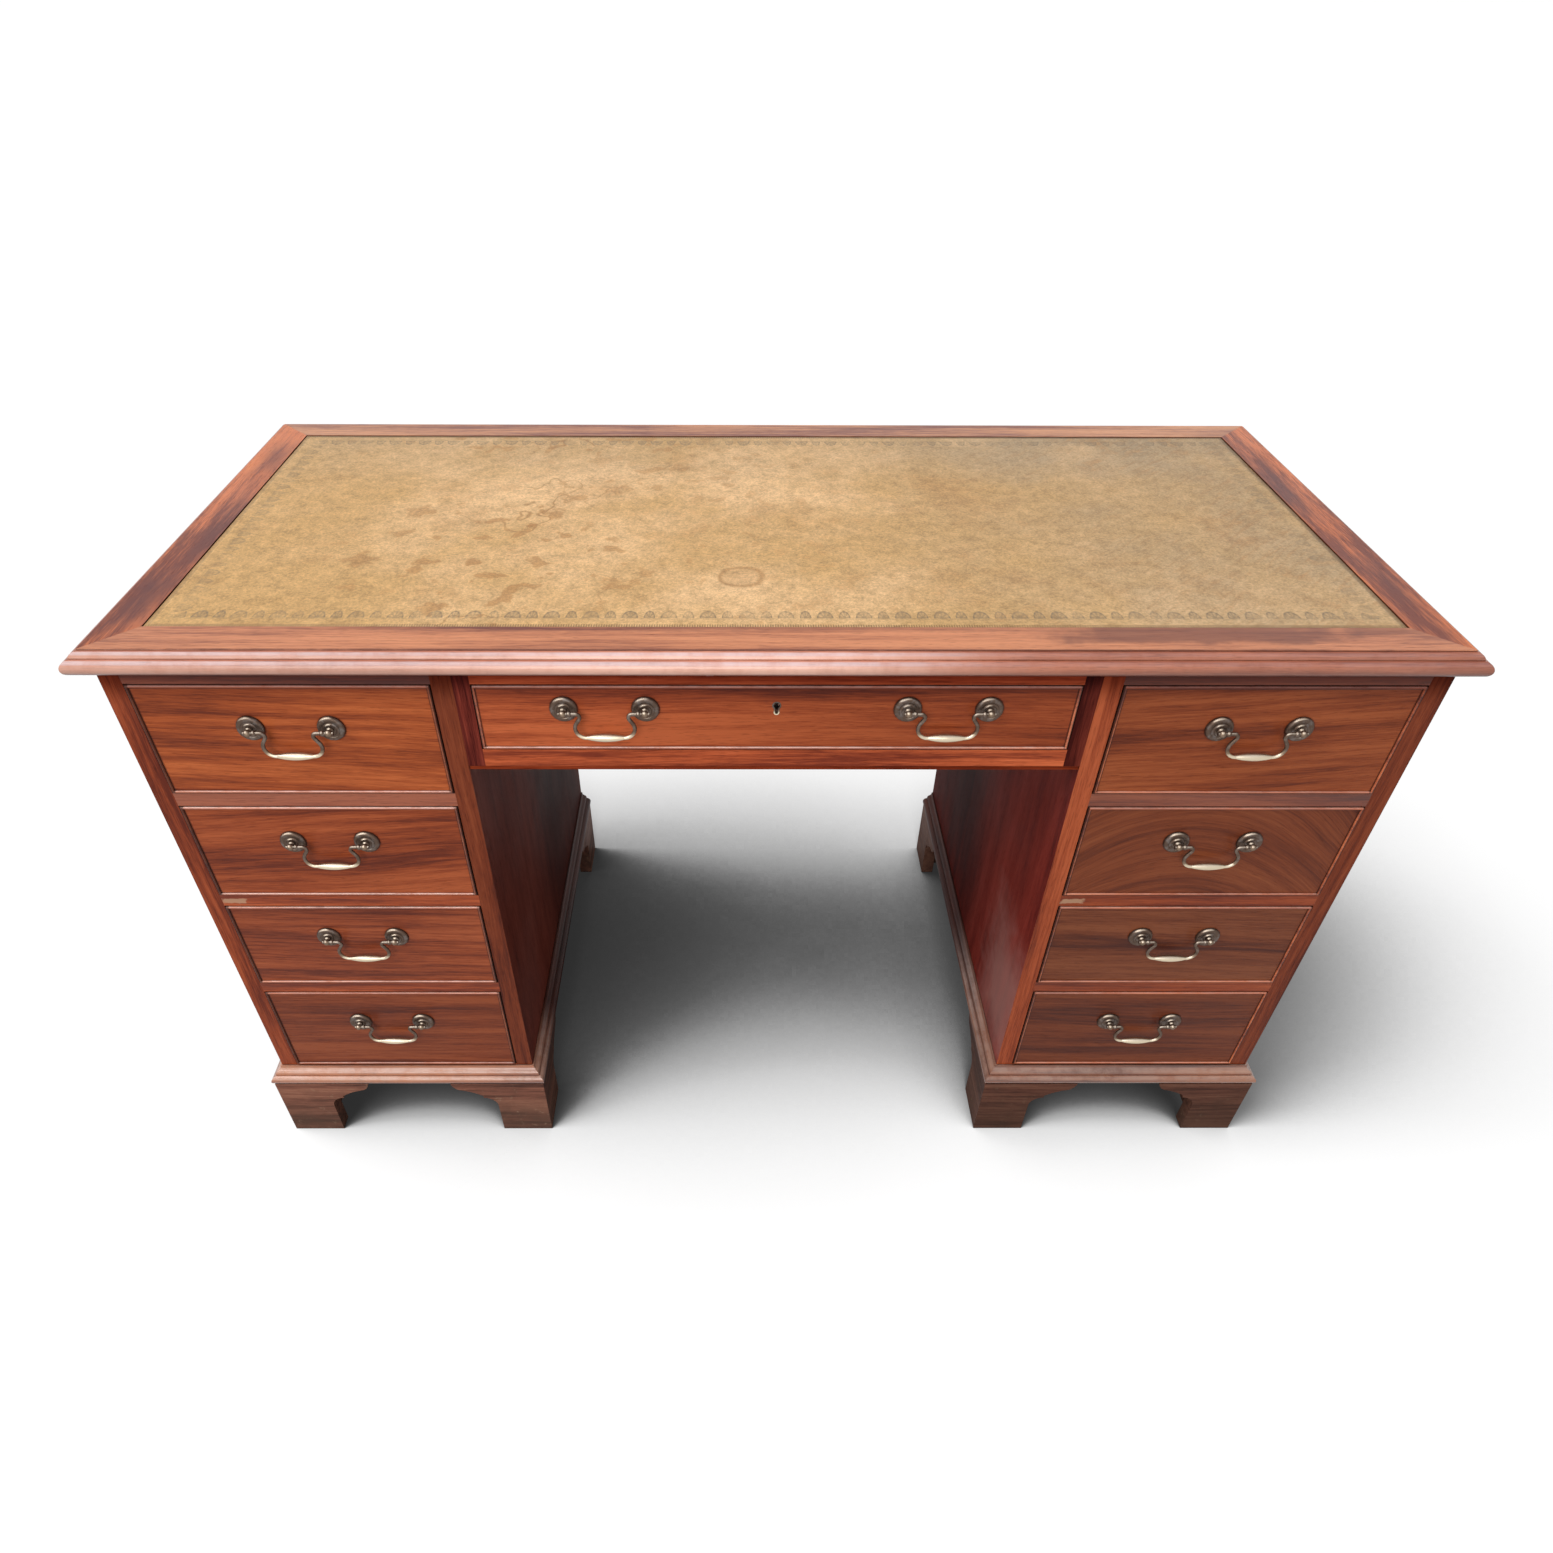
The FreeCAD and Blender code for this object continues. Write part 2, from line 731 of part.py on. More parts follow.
def make_posts(bay):
    """Roses, posts and nuts of one drawer."""
    handles, height = post_places(bay)
    pieces = []
    for middle in handles:
        for hand in (-1, 1):
            for piece in (rose(), post(), nut()):
                pieces.append(placed(piece, (middle + hand * handle_half, front_y, height)))
    export(f"{bay.name}_posts", pieces)


def swelling(middle, half_length, end_radius, middle_radius):
    """Turned swelling on the X axis."""
    path = [
        (middle - half_length, 0.0),
        (middle + half_length, 0.0),
        (middle + half_length, end_radius),
        ((middle, middle_radius), (middle - half_length, end_radius)),
    ]
    return outline_face(path, on_front).revolve(vector(0, 0, 0), vector(1, 0, 0), 360)


def bail():
    """Swan-neck bail hanging from its pins on the X axis, with a collar at each post and a swelling grip."""
    splay = math.radians(neck_splay)
    wire = bail_wire_diameter / 2
    bends = upper_bend_radius + lower_bend_radius
    neck_length = (bail_drop - bends * (1 + math.sin(splay))) / math.cos(splay)
    bend_x = handle_half - bail_neck_setback
    pin_tip = (handle_half + knuckle_diameter / 2 + pin_end, 0.0)
    bend_start = (bend_x, 0.0)
    bend_through = (bend_x - upper_bend_radius, -upper_bend_radius)
    bend_end = (
        bend_x - upper_bend_radius * math.cos(splay),
        -upper_bend_radius * (1 + math.sin(splay)),
    )
    neck_end = (
        bend_end[0] + neck_length * math.sin(splay),
        bend_end[1] - neck_length * math.cos(splay),
    )
    grip_end = (neck_end[0] - lower_bend_radius * math.cos(splay), -bail_drop)
    lower_through = (grip_end[0] + lower_bend_radius, -bail_drop + lower_bend_radius)

    def half_edges(hand):
        def place(p):
            return vector(hand * p[0], 0, p[1])
        return [
            Part.makeLine(place(pin_tip), place(bend_start)),
            Part.Arc(place(bend_start), place(bend_through), place(bend_end)).toShape(),
            Part.makeLine(place(bend_end), place(neck_end)),
            Part.Arc(place(neck_end), place(lower_through), place(grip_end)).toShape(),
        ]

    right = half_edges(1)
    left = half_edges(-1)
    grip_line = Part.makeLine(vector(grip_end[0], 0, -bail_drop), vector(-grip_end[0], 0, -bail_drop))
    path = Part.Wire(right + [grip_line] + left[::-1])
    circle = Part.makeCircle(wire, vector(pin_tip[0], 0, 0), vector(1, 0, 0))
    loop = path.makePipeShell([Part.Wire([circle])], True, False)

    end_radius = wire - swelling_sink
    grip = swelling(0.0, grip_end[0], end_radius, grip_diameter / 2)
    grip.translate(vector(0, 0, -bail_drop))
    collar_half = collar_length / 2
    collar_x = handle_half - knuckle_diameter / 2 - collar_gap - collar_half
    collars = [swelling(hand * collar_x, collar_half, end_radius, collar_diameter / 2) for hand in (-1, 1)]
    return loop.fuse([grip] + collars)


def make_bails(bay):
    """One bail for each handle of a drawer."""
    handles, height = post_places(bay)
    names = [f"{bay.name}_bail"]
    if len(handles) > 1:
        names = [f"{bay.name}_left_bail", f"{bay.name}_right_bail"]
    for name, middle in zip(names, handles):
        export(name, [placed(bail(), (middle, front_y - pivot_reach, height))])


# Lock

def keyhole(grow, depth):
    """Keyhole prism along +Y from the drawer front, wider all round by grow."""
    radius = keyhole_radius + grow
    slot = keyhole_slot_width / 2 + grow
    meet = -math.sqrt(radius ** 2 - slot ** 2)
    path = [
        (slot, -keyhole_slot_drop),
        (slot, meet),
        ((0.0, radius), (-slot, meet)),
        (-slot, -keyhole_slot_drop),
        ((0.0, -keyhole_slot_drop - slot), (slot, -keyhole_slot_drop)),
    ]
    return outline_face(path, on_front).extrude(vector(0, depth, 0))


def at_keyhole(bay, shape, set_in):
    """Move a keyhole prism to its place in the drawer front."""
    _, _, high = front_extent(bay)
    shape.translate(vector(bay.middle, front_y + set_in, high - keyhole_drop))
    return shape


def lock_block(bay):
    """Space of the lock case, let into the back and top of the drawer front."""
    _, _, high = front_extent(bay)
    half = lock_width / 2
    return box((-half, half), (front_back_y - lock_depth, front_back_y), (high - lock_height, high))


def bolt_y_range():
    """Front and back of the bolt, in the middle of the lock case."""
    middle = front_back_y - lock_depth / 2
    return middle - bolt_thickness / 2, middle + bolt_thickness / 2


def lock_cuts(bay):
    """Recess of the lock, seat of the escutcheon and the keyhole through the front."""
    seat = at_keyhole(bay, keyhole(escutcheon_wall, escutcheon_depth + margin), -margin)
    hole = at_keyhole(bay, keyhole(0.0, front_thickness), 0.0)
    return [lock_block(bay), seat, hole]


def make_lock(bay):
    """Lock case with the bolt in it, and the escutcheon round the keyhole."""
    _, _, high = front_extent(bay)
    bolt_top = high - bolt_sink
    bolt_low, bolt_high = bolt_y_range()
    half = bolt_width / 2
    bolt = box((-half, half), (bolt_low, bolt_high), (bolt_top - bolt_height, bolt_top))
    slot_half = half + bolt_clearance
    slot_y = (bolt_low - bolt_clearance, bolt_high + bolt_clearance)
    slot = box((-slot_half, slot_half), slot_y, (bolt_top - bolt_height, high + margin))
    hole = at_keyhole(bay, keyhole(0.0, front_thickness - bolt_thickness), 0.0)
    export("lock_case", [lock_block(bay).cut([slot, hole])])
    export("lock_bolt", [bolt.cut(at_keyhole(bay, keyhole(bolt_clearance, front_thickness), 0.0))])
    length = escutcheon_depth + escutcheon_proud
    ring = keyhole(escutcheon_wall, length).cut(keyhole(0.0, length))
    export("keyhole_escutcheon", [at_keyhole(bay, ring, -escutcheon_proud)])


def main():
    os.makedirs("parts", exist_ok=True)
    make_top()
    backs = []
    bays = []
    for name, middle in (("left", -pedestal_middle), ("right", pedestal_middle)):
        outward = math.copysign(1, middle)
        make_side(f"{name}_outer_side", middle, outward)
        make_side(f"{name}_inner_side", middle, -outward)
        backs.append(pedestal_back(middle))
        make_rails(f"{name}_drawer_rails", middle)
        pedestal = pedestal_bays(name, middle)
        make_runners(f"{name}_drawer_runners", middle, pedestal)
        make_base_moulding(f"{name}_base_moulding", middle)
        make_feet(f"{name}_feet", middle)
        bays += pedestal
    export("pedestal_backs", backs)
    centre = Bay("centre_drawer", 0.0, centre_floor, 2 * centre_bay_half, centre_bay_height)
    make_centre(centre)
    make_lock(centre)
    for bay in bays + [centre]:
        make_drawer(bay)
        make_posts(bay)
        make_bails(bay)


main()
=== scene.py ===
"""Dress of a mahogany kneehole desk: polished wood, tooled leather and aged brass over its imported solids.

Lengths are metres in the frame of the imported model: X along the front, +Y to the back and +Z up.
"""

import logging
import math
from dataclasses import dataclass
from enum import Enum
from typing import Any, Callable, Dict, List, Mapping, Optional, Protocol, Sequence, Tuple, Union

import bmesh
import bpy
from mathutils import Matrix, Vector, noise


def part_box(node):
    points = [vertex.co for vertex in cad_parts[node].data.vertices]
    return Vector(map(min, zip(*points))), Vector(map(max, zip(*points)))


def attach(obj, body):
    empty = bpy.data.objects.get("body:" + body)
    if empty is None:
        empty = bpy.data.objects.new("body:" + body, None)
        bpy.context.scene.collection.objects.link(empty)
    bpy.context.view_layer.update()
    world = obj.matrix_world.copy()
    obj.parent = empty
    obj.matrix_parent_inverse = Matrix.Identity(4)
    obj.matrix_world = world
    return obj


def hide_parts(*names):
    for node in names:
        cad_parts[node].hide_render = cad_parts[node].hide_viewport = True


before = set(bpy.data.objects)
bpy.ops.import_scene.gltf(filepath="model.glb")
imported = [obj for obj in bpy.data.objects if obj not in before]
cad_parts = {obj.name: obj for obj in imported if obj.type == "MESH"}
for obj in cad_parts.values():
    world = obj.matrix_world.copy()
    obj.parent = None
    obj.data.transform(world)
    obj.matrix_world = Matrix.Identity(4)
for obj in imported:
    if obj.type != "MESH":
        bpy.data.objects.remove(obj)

LOG = logging.getLogger("kneehole_desk")
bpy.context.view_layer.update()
MM = 0.001

Colour = Tuple[float, float, float]
Number = Union["Value", float, int]


class Value:
    """Socket of a material, on which operators write Math nodes."""

    def __init__(self, sheet: "NodeSheet", socket: bpy.types.NodeSocket) -> None:
        """Wrap one output socket of a node sheet."""
        self.sheet = sheet
        self.socket = socket

    def math(self, operation: str, *others: Number) -> "Value":
        """Result of a Math node whose first operand is this value."""
        return self.sheet.math(operation, self, *others)

    def __add__(self, other: Number) -> "Value":
        """Sum of two values."""
        return self.math("ADD", other)

    __radd__ = __add__

    def __sub__(self, other: Number) -> "Value":
        """Difference of two values."""
        return self.math("SUBTRACT", other)

    def __rsub__(self, other: Number) -> "Value":
        """Difference with a number on the left."""
        return self.sheet.math("SUBTRACT", other, self)

    def __mul__(self, other: Number) -> "Value":
        """Product of two values."""
        return self.math("MULTIPLY", other)

    __rmul__ = __mul__

    def __truediv__(self, other: Number) -> "Value":
        """Quotient of two values."""
        return self.math("DIVIDE", other)

    def __rtruediv__(self, other: Number) -> "Value":
        """Quotient with a number on the left."""
        return self.sheet.math("DIVIDE", other, self)

    def __abs__(self) -> "Value":
        """Size of the value without its sign."""
        return self.math("ABSOLUTE")

    def __mod__(self, other: Number) -> "Value":
        """Rest after whole steps of other, never negative."""
        return self.math("FLOORED_MODULO", other)

    def __lt__(self, other: Number) -> "Value":
        """One where this value is the smaller."""
        return self.math("LESS_THAN", other)

    def __gt__(self, other: Number) -> "Value":
        """One where this value is the larger."""
        return self.math("GREATER_THAN", other)

    def least(self, other: Number) -> "Value":
        """Smaller of two values."""
        return self.math("MINIMUM", other)

    def most(self, other: Number) -> "Value":
        """Larger of two values."""
        return self.math("MAXIMUM", other)

    def step(self, start: float, end: float) -> "Value":
        """Soft step from zero at start to one at end.

        Args:
            start: Value at which the step is zero.
            end: Value at which it is one; it may be the smaller.

        Returns:
            The step, between zero and one.
        """
        low, high = min(start, end), max(start, end)
        rise = self.sheet.node(
            "ShaderNodeMapRange", {"interpolation_type": "SMOOTHSTEP"}, {0: self, 1: low, 2: high}
        )
        return rise if start < end else 1 - rise

    def near(self, middle: float, reach: float) -> "Value":
        """One at middle, falling softly to zero at reach on both sides."""
        return abs(self - middle).step(reach, 0.0)


class NodeSheet:
    """Nodes of one material or world, with short ways to write the usual ones."""

    def __init__(self, owner: Union[bpy.types.Material, bpy.types.World]) -> None:
        """Empty the owner's node tree.

        Args:
            owner: Material or world to write.
        """
        owner.use_nodes = True
        self.tree = owner.node_tree
        self.tree.nodes.clear()
        self.output = "ShaderNodeOutputMaterial"
        if isinstance(owner, bpy.types.World):
            self.output = "ShaderNodeOutputWorld"

    def node(
        self,
        kind: str,
        settings: Optional[Mapping[str, Any]] = None,
        sockets: Optional[Mapping[Union[int, str], Any]] = None,
        output: Union[int, str] = 0,
    ) -> Value:
        """Add a node.

        Args:
            kind: Type of the node.
            settings: Properties set first; stops gives the stops of a colour ramp.
            sockets: Values or links of the input sockets, by name or place.
            output: Output socket to return, by name or place.

        Returns:
            The chosen output of the new node.
        """
        made = self.tree.nodes.new(kind)
        for name, value in (settings or {}).items():
            if name == "stops":
                self._set_stops(made.color_ramp, value)
            else:
                setattr(made, name, value)
        for key, value in (sockets or {}).items():
            target = made.inputs[key]
            if isinstance(value, Value):
                self.tree.links.new(value.socket, target)
            elif target.type == "RGBA" and len(value) == 3:
                target.default_value = (*value, 1.0)
            else:
                target.default_value = value
        return Value(self, made.outputs[output]) if len(made.outputs) else None

    @staticmethod
    def _set_stops(ramp: bpy.types.ColorRamp, stops: Sequence[Tuple[float, Colour]]) -> None:
        """Give a colour ramp its stops.

        Args:
            ramp: Ramp of a new node, with two stops.
            stops: Position and colour of each stop, in order.
        """
        while len(ramp.elements) < len(stops):
            ramp.elements.new(1.0)
        for element, (position, colour) in zip(ramp.elements, stops):
            element.position = position
            element.color = (*colour, 1.0)

    def math(self, operation: str, *operands: Number) -> Value:
        """Add a Math node with the given operands."""
        return self.node("ShaderNodeMath", {"operation": operation}, dict(enumerate(operands)))

    def place(self) -> Value:
        """Place of the shaded point in the desk's own frame."""
        return self.node("ShaderNodeTexCoord", output="Object")

    def split(self, vector: Value) -> Tuple[Value, Value, Value]:
        """Take a vector apart.

        Args:
            vector: Vector to take apart.

        Returns:
            Its three parts.
        """
        first = self.node("ShaderNodeSeparateXYZ", sockets={0: vector})
        outputs = first.socket.node.outputs
        return first, Value(self, outputs[1]), Value(self, outputs[2])

    def join(self, x: Number, y: Number, z: Number) -> Value:
        """Vector made of three values."""
        return self.node("ShaderNodeCombineXYZ", sockets={0: x, 1: y, 2: z})

    def noise(self, vector: Value, scale: float = 1.0, detail: float = 2.0, roughness: float = 0.5) -> Value:
        """Cloudy noise between zero and one, with finer octaves by detail and roughness."""
        sockets = {"Vector": vector, "Scale": scale, "Detail": detail, "Roughness": roughness}
        return self.node("ShaderNodeTexNoise", sockets=sockets)

    def cells(self, vector: Value, scale: float) -> Value:
        """Distance from the middle of irregular cells."""
        return self.node("ShaderNodeTexVoronoi", sockets={"Vector": vector, "Scale": scale})

    def ramp(self, value: Value, stops: Sequence[Tuple[float, Colour]]) -> Value:
        """Colour looked up along a ramp."""
        return self.node("ShaderNodeValToRGB", {"stops": stops}, {0: value})

    def mix(self, share: Number, base: Any, over: Any, blend: str = "MIX") -> Value:
        """Mix of two colours, given as values or numbers, by the share of the second."""
        settings = {"data_type": "RGBA", "blend_type": blend, "clamp_factor": True}
        return self.node("ShaderNodeMix", settings, {0: share, 6: base, 7: over}, 2)

    def blend(self, share: Value, first: Value, second: Value) -> Value:
        """Number between two values, by the share of the second."""
        return first + (second - first) * share


@dataclass
class Surface:
    """Colour, roughness, height in metres and weight of the polish at each point of a finish."""

    colour: Value
    roughness: Value
    height: Value
    coat: Value


class Finish(Protocol):
    """Anything that can write its surface on a node sheet."""

    def surface(self, sheet: NodeSheet) -> Surface:
        """Write the nodes of the finish."""


# Dark tone of old wax, also laid on as painted shade in crevices and gaps.
WAX_AND_PAINTED_SHADE: Colour = (0.030, 0.010, 0.007)


@dataclass(frozen=True)
class Polish:
    """Constant shader values of a finish, and how much painted shade, partly old wax, darkens its crevices.
    """

    metallic: float = 0.0
    coat_roughness: float = 0.2
    coat_ior: float = 1.6
    specular: float = 0.5
    soft_edge: float = 0.0
    crevice_shade_reach: float = 0.0
    shade_and_wax_steps: Tuple[float, float] = (0.86, 0.38)
    shade_and_wax_share: float = 0.9


FRENCH_POLISH = Polish(specular=0.2, soft_edge=0.5 * MM, crevice_shade_reach=5.0 * MM)
WORN_POLISH = Polish(specular=0.16, soft_edge=0.5 * MM, crevice_shade_reach=4.0 * MM)
DULL_POLISH = Polish(specular=0.02, soft_edge=0.8 * MM, crevice_shade_reach=4.0 * MM)
BARE = Polish(specular=0.1, soft_edge=0.6 * MM)
HIDE = Polish(specular=0.3)
METAL = Polish(metallic=1.0)


def make_material(name: str, finish: Finish, polish: Polish) -> bpy.types.Material:
    """Make the material of a finish.

    Args:
        name: Name of the material.
        finish: Finish that varies over the surface.
        polish: Shader values that don't.

    Returns:
        The new material.
    """
    material = bpy.data.materials.new(name)
    sheet = NodeSheet(material)
    surface = finish.surface(sheet)
    # Painted shade with some old wax: colour darkened where ambient occlusion finds crevices, gaps and nearby
    # parts.
    if polish.crevice_shade_reach > 0:
        bare = sheet.node("ShaderNodeAmbientOcclusion", {"samples": 8}, {"Distance": polish.crevice_shade_reach}, "AO")
        wax_and_shade = bare.step(*polish.shade_and_wax_steps)
        surface.colour = sheet.mix(wax_and_shade * polish.shade_and_wax_share, surface.colour, WAX_AND_PAINTED_SHADE)
        surface.coat = surface.coat * (1 - wax_and_shade)
    bump = {"Strength": 1.0, "Distance": 1.0, "Height": surface.height}
    if polish.soft_edge > 0:
        bump["Normal"] = sheet.node("ShaderNodeBevel", {"samples": 4}, {"Radius": polish.soft_edge})
    shader = sheet.node(
        "ShaderNodeBsdfPrincipled",
        sockets={
            "Base Color": surface.colour,
            "Roughness": surface.roughness,
            "Normal": sheet.node("ShaderNodeBump", sockets=bump),
            "Metallic": polish.metallic,
            "Coat Weight": surface.coat,
            "Coat Roughness": polish.coat_roughness,
            "Coat IOR": polish.coat_ior,
            "Specular IOR Level": polish.specular,
        },
    )
    sheet.node(sheet.output, sockets={"Surface": shader})
    return material


class Grain(Enum):
    """Axis that the fibres of a board run along."""

    X = "X"
    Y = "Y"
    Z = "Z"


class Figure(Enum):
    """Way that the growth rings show on a board."""

    STRAIGHT = "straight"
    ARCHED = "arched"


@dataclass(frozen=True)
class Wood:
    """Boards or veneers of one tone, with streaks, fibres and pores along the grain."""

    light: Colour
    middle: Colour
    dark: Colour
    grain: Grain = Grain.X
    figure: Figure = Figure.STRAIGHT
    arch_at: float = 0.0
    arch_curve: float = 3.0
    lean: float = 0.0
    wander: float = 0.016
    seed: float = 0.0
    streak_length: float = 0.22
    streak_width: float = 0.009
    contrast: float = 1.25
    pore_depth: float = 0.5
    roughness: float = 0.36
    coat: float = 0.0
    broad_length: float = 2.5
    broad_share: float = 0.22
    drift_waves: Tuple[float, float] = (2.6, 9.0)
    fibre_waves: Tuple[float, float] = (34.0, 900.0)
    pore_waves: Tuple[float, float] = (70.0, 1100.0)
    fibre_height: float = 0.05 * MM
    pore_height: float = 0.06 * MM
    pitted: Colour = (0.42, 0.36, 0.34)

    def surface(self, sheet: NodeSheet) -> Surface:
        """Write the nodes of the wood.

        Args:
            sheet: Node sheet to write on.

        Returns:
            Colour, roughness and height of the wood.
        """
        x, y, z = sheet.split(sheet.place())
        run, across, depth = {
            Grain.X: (x, z, y),
            Grain.Y: (y, x, z),
            Grain.Z: (z, x, y),
        }[self.grain]
        along = run + self.seed

        def stretched(over: Value, waves: Tuple[float, float]) -> Value:
            """Place with few waves along the grain and many across it."""
            return sheet.join(along * waves[0], over * waves[1], depth * waves[1])

        drift = sheet.noise(stretched(across, self.drift_waves), detail=1.0) - 0.5
        ring = across + along * self.lean + drift * self.wander
        if self.figure is Figure.ARCHED:
            reach = run - self.arch_at
            ring = ring + reach * reach * self.arch_curve
        wide = 1.0 / self.streak_width
        streak_at = sheet.join(along / self.streak_length, ring * wide, depth * wide)
        streak = sheet.noise(streak_at, detail=5.0, roughness=0.74)
        share = self.broad_share
        long_run = along / (self.broad_length * self.streak_length)
        broad = sheet.noise(sheet.join(long_run, ring * wide * share, depth * wide * share), detail=2.0)
        fibre = sheet.noise(stretched(ring, self.fibre_waves), detail=2.0, roughness=0.7)
        pore = sheet.noise(stretched(ring, self.pore_waves), detail=1.0).step(0.58, 0.72)
        tone = (streak * 1.8 + broad * 1.4 + fibre * 0.6 - 1.9) * self.contrast + 0.5
        colour = sheet.ramp(tone, [(0.08, self.dark), (0.5, self.middle), (0.92, self.light)])
        pitted = sheet.mix(1.0, colour, self.pitted, "MULTIPLY")
        colour = sheet.mix(pore * self.pore_depth, colour, pitted)
        rub = sheet.noise(sheet.join(x, y, z), 11.0, 2.0)
        roughness = pore * 0.12 + rub * 0.16 + (self.roughness - 0.08)
        height = fibre * self.fibre_height - pore * self.pore_height
        coat = (0.7 + rub * 0.6) * self.coat
        return Surface(colour, roughness, height, coat)


@dataclass(frozen=True)
class Zoned:
    """Two finishes on one piece, told apart by where a point lies."""

    first: Finish
    second: Finish
    where: Callable[[NodeSheet], Value]

    def surface(self, sheet: NodeSheet) -> Surface:
        """Write both finishes and mix them by the zone of the second.

        Args:
            sheet: Node sheet to write on.

        Returns:
            The mixed surface.
        """
        here = self.where(sheet)
        one = self.first.surface(sheet)
        two = self.second.surface(sheet)
        return Surface(
            sheet.mix(here, one.colour, two.colour),
            sheet.blend(here, one.roughness, two.roughness),
            sheet.blend(here, one.height, two.height),
            sheet.blend(here, one.coat, two.coat),
        )


@dataclass(frozen=True)
class Mark:
    """Small worn, chipped or stained place, or a patch of painted shade or painted reflection, given by its
    middle and its half sizes.
    """

    middle: Tuple[float, float, float]
    reach: Tuple[float, float, float]
    colour: Colour
    strength: float = 1.0
    ragged: float = 0.6
    grain: float = 160.0
    fade: float = 0.28


@dataclass(frozen=True)
class Marked:
    """Finish with a few marks on it: marks of use and patches of painted light."""

    base: Finish
    marks: Tuple[Mark, ...]

    def surface(self, sheet: NodeSheet) -> Surface:
        """Write the base finish and lay each mark over it.

        Args:
            sheet: Node sheet to write on.

        Returns:
            The marked surface.
        """
        surface = self.base.surface(sheet)
        place = sheet.place()
        parts = sheet.split(place)
        for mark in self.marks:
            far = None
            for part, middle, reach in zip(parts, mark.middle, mark.reach):
                away = abs(part - middle) / reach
                far = away if far is None else far.most(away)
            fray = (sheet.noise(place, mark.grain, 3.0, 0.65) - 0.5) * (2.0 * mark.ragged)
            here = (far + fray).step(1.0, 1.0 - mark.fade) * mark.strength
            surface.colour = sheet.mix(here, surface.colour, mark.colour)
            surface.coat = surface.coat * (1 - here)
        return surface


@dataclass(frozen=True)
class PaintedFacingLight:
    """Finish with another tone painted where it faces one way: painted highlight where the tone is paler,
    painted shade where it is darker.
    """

    base: Finish
    tone: Colour
    share: float
    toward: Tuple[float, float, float] = (0.0, 0.0, 1.0)
    start: float = 0.05
    end: float = 0.75
    patchy: float = 0.6
    patch_scale: float = 45.0
    patch_rise: Tuple[float, float] = (0.30, 0.62)

    def surface(self, sheet: NodeSheet) -> Surface:
        """Write the base finish and the other tone.

        Args:
            sheet: Node sheet to write on.

        Returns:
            The surface with its painted tone.
        """
        surface = self.base.surface(sheet)
        x, y, z = sheet.split(sheet.node("ShaderNodeNewGeometry", output="Normal"))
        facing = x * self.toward[0] + y * self.toward[1] + z * self.toward[2]
        cloud = sheet.noise(sheet.place(), self.patch_scale, 4.0, 0.65).step(*self.patch_rise)
        patch = cloud * self.patchy + (1.0 - self.patchy)
        here = facing.step(self.start, self.end) * patch * self.share
        surface.colour = sheet.mix(here, surface.colour, self.tone)
        return surface


@dataclass(frozen=True)
class PaintedOverhangShadow:
    """Finish darkened and dulled close under an overhang: a painted shadow of the overhang."""

    base: Finish
    under: float
    reach: float = 38.0 * MM
    share: float = 0.9
    shadow_tint: Colour = (0.34, 0.22, 0.24)

    def surface(self, sheet: NodeSheet) -> Surface:
        """Write the base finish and paint the overhang's shadow on it, darker towards the overhang.

        Args:
            sheet: Node sheet to write on.

        Returns:
            The darkened surface.
        """
        surface = self.base.surface(sheet)
        _, _, z = sheet.split(sheet.place())
        here = (self.under - z).step(self.reach, 0.0) * self.share
        dark = sheet.mix(1.0, surface.colour, self.shadow_tint, "MULTIPLY")
        surface.colour = sheet.mix(here, surface.colour, dark)
        surface.coat = surface.coat * (1 - here)
        return surface


@dataclass(frozen=True)
class Outlined:
    """Finish of a beaded front, with painted shade in the gaps round it and along both sides of the bead."""

    base: Finish
    low: Vector
    high: Vector
    bead: float
    left_painted_shade: float = 0.0
    right_painted_shade: float = 0.0
    outer_line: Tuple[float, float] = (1.9 * MM, 0.8 * MM)
    inner_gap: float = 0.5 * MM
    inner_line: float = 1.0 * MM
    inner_share: float = 0.75
    left_reach: float = 2.0 * MM
    right_reach: float = 1.0 * MM
    line_share: float = 0.92

    def surface(self, sheet: NodeSheet) -> Surface:
        """Write the base finish and the dark lines of painted shade.

        Args:
            sheet: Node sheet to write on.

        Returns:
            The outlined surface.
        """
        surface = self.base.surface(sheet)
        x, _, z = sheet.split(sheet.place())
        gap_x = (self.high.x - self.low.x) / 2 - abs(x - (self.low.x + self.high.x) / 2)
        outer = gap_x.least(z - self.low.z).step(*self.outer_line)
        beside = gap_x.least(self.high.z - z)
        inner = beside.near(self.bead + self.inner_gap, self.inner_line) * self.inner_share
        left = (x - self.low.x).step(self.bead + self.left_reach, self.bead) * self.left_painted_shade
        right = (self.high.x - x).step(self.bead + self.right_reach, self.bead) * self.right_painted_shade
        line = outer.most(inner).most(left).most(right)
        surface.colour = sheet.mix(line * self.line_share, surface.colour, WAX_AND_PAINTED_SHADE)
        surface.coat = surface.coat * (1 - line)
        return surface


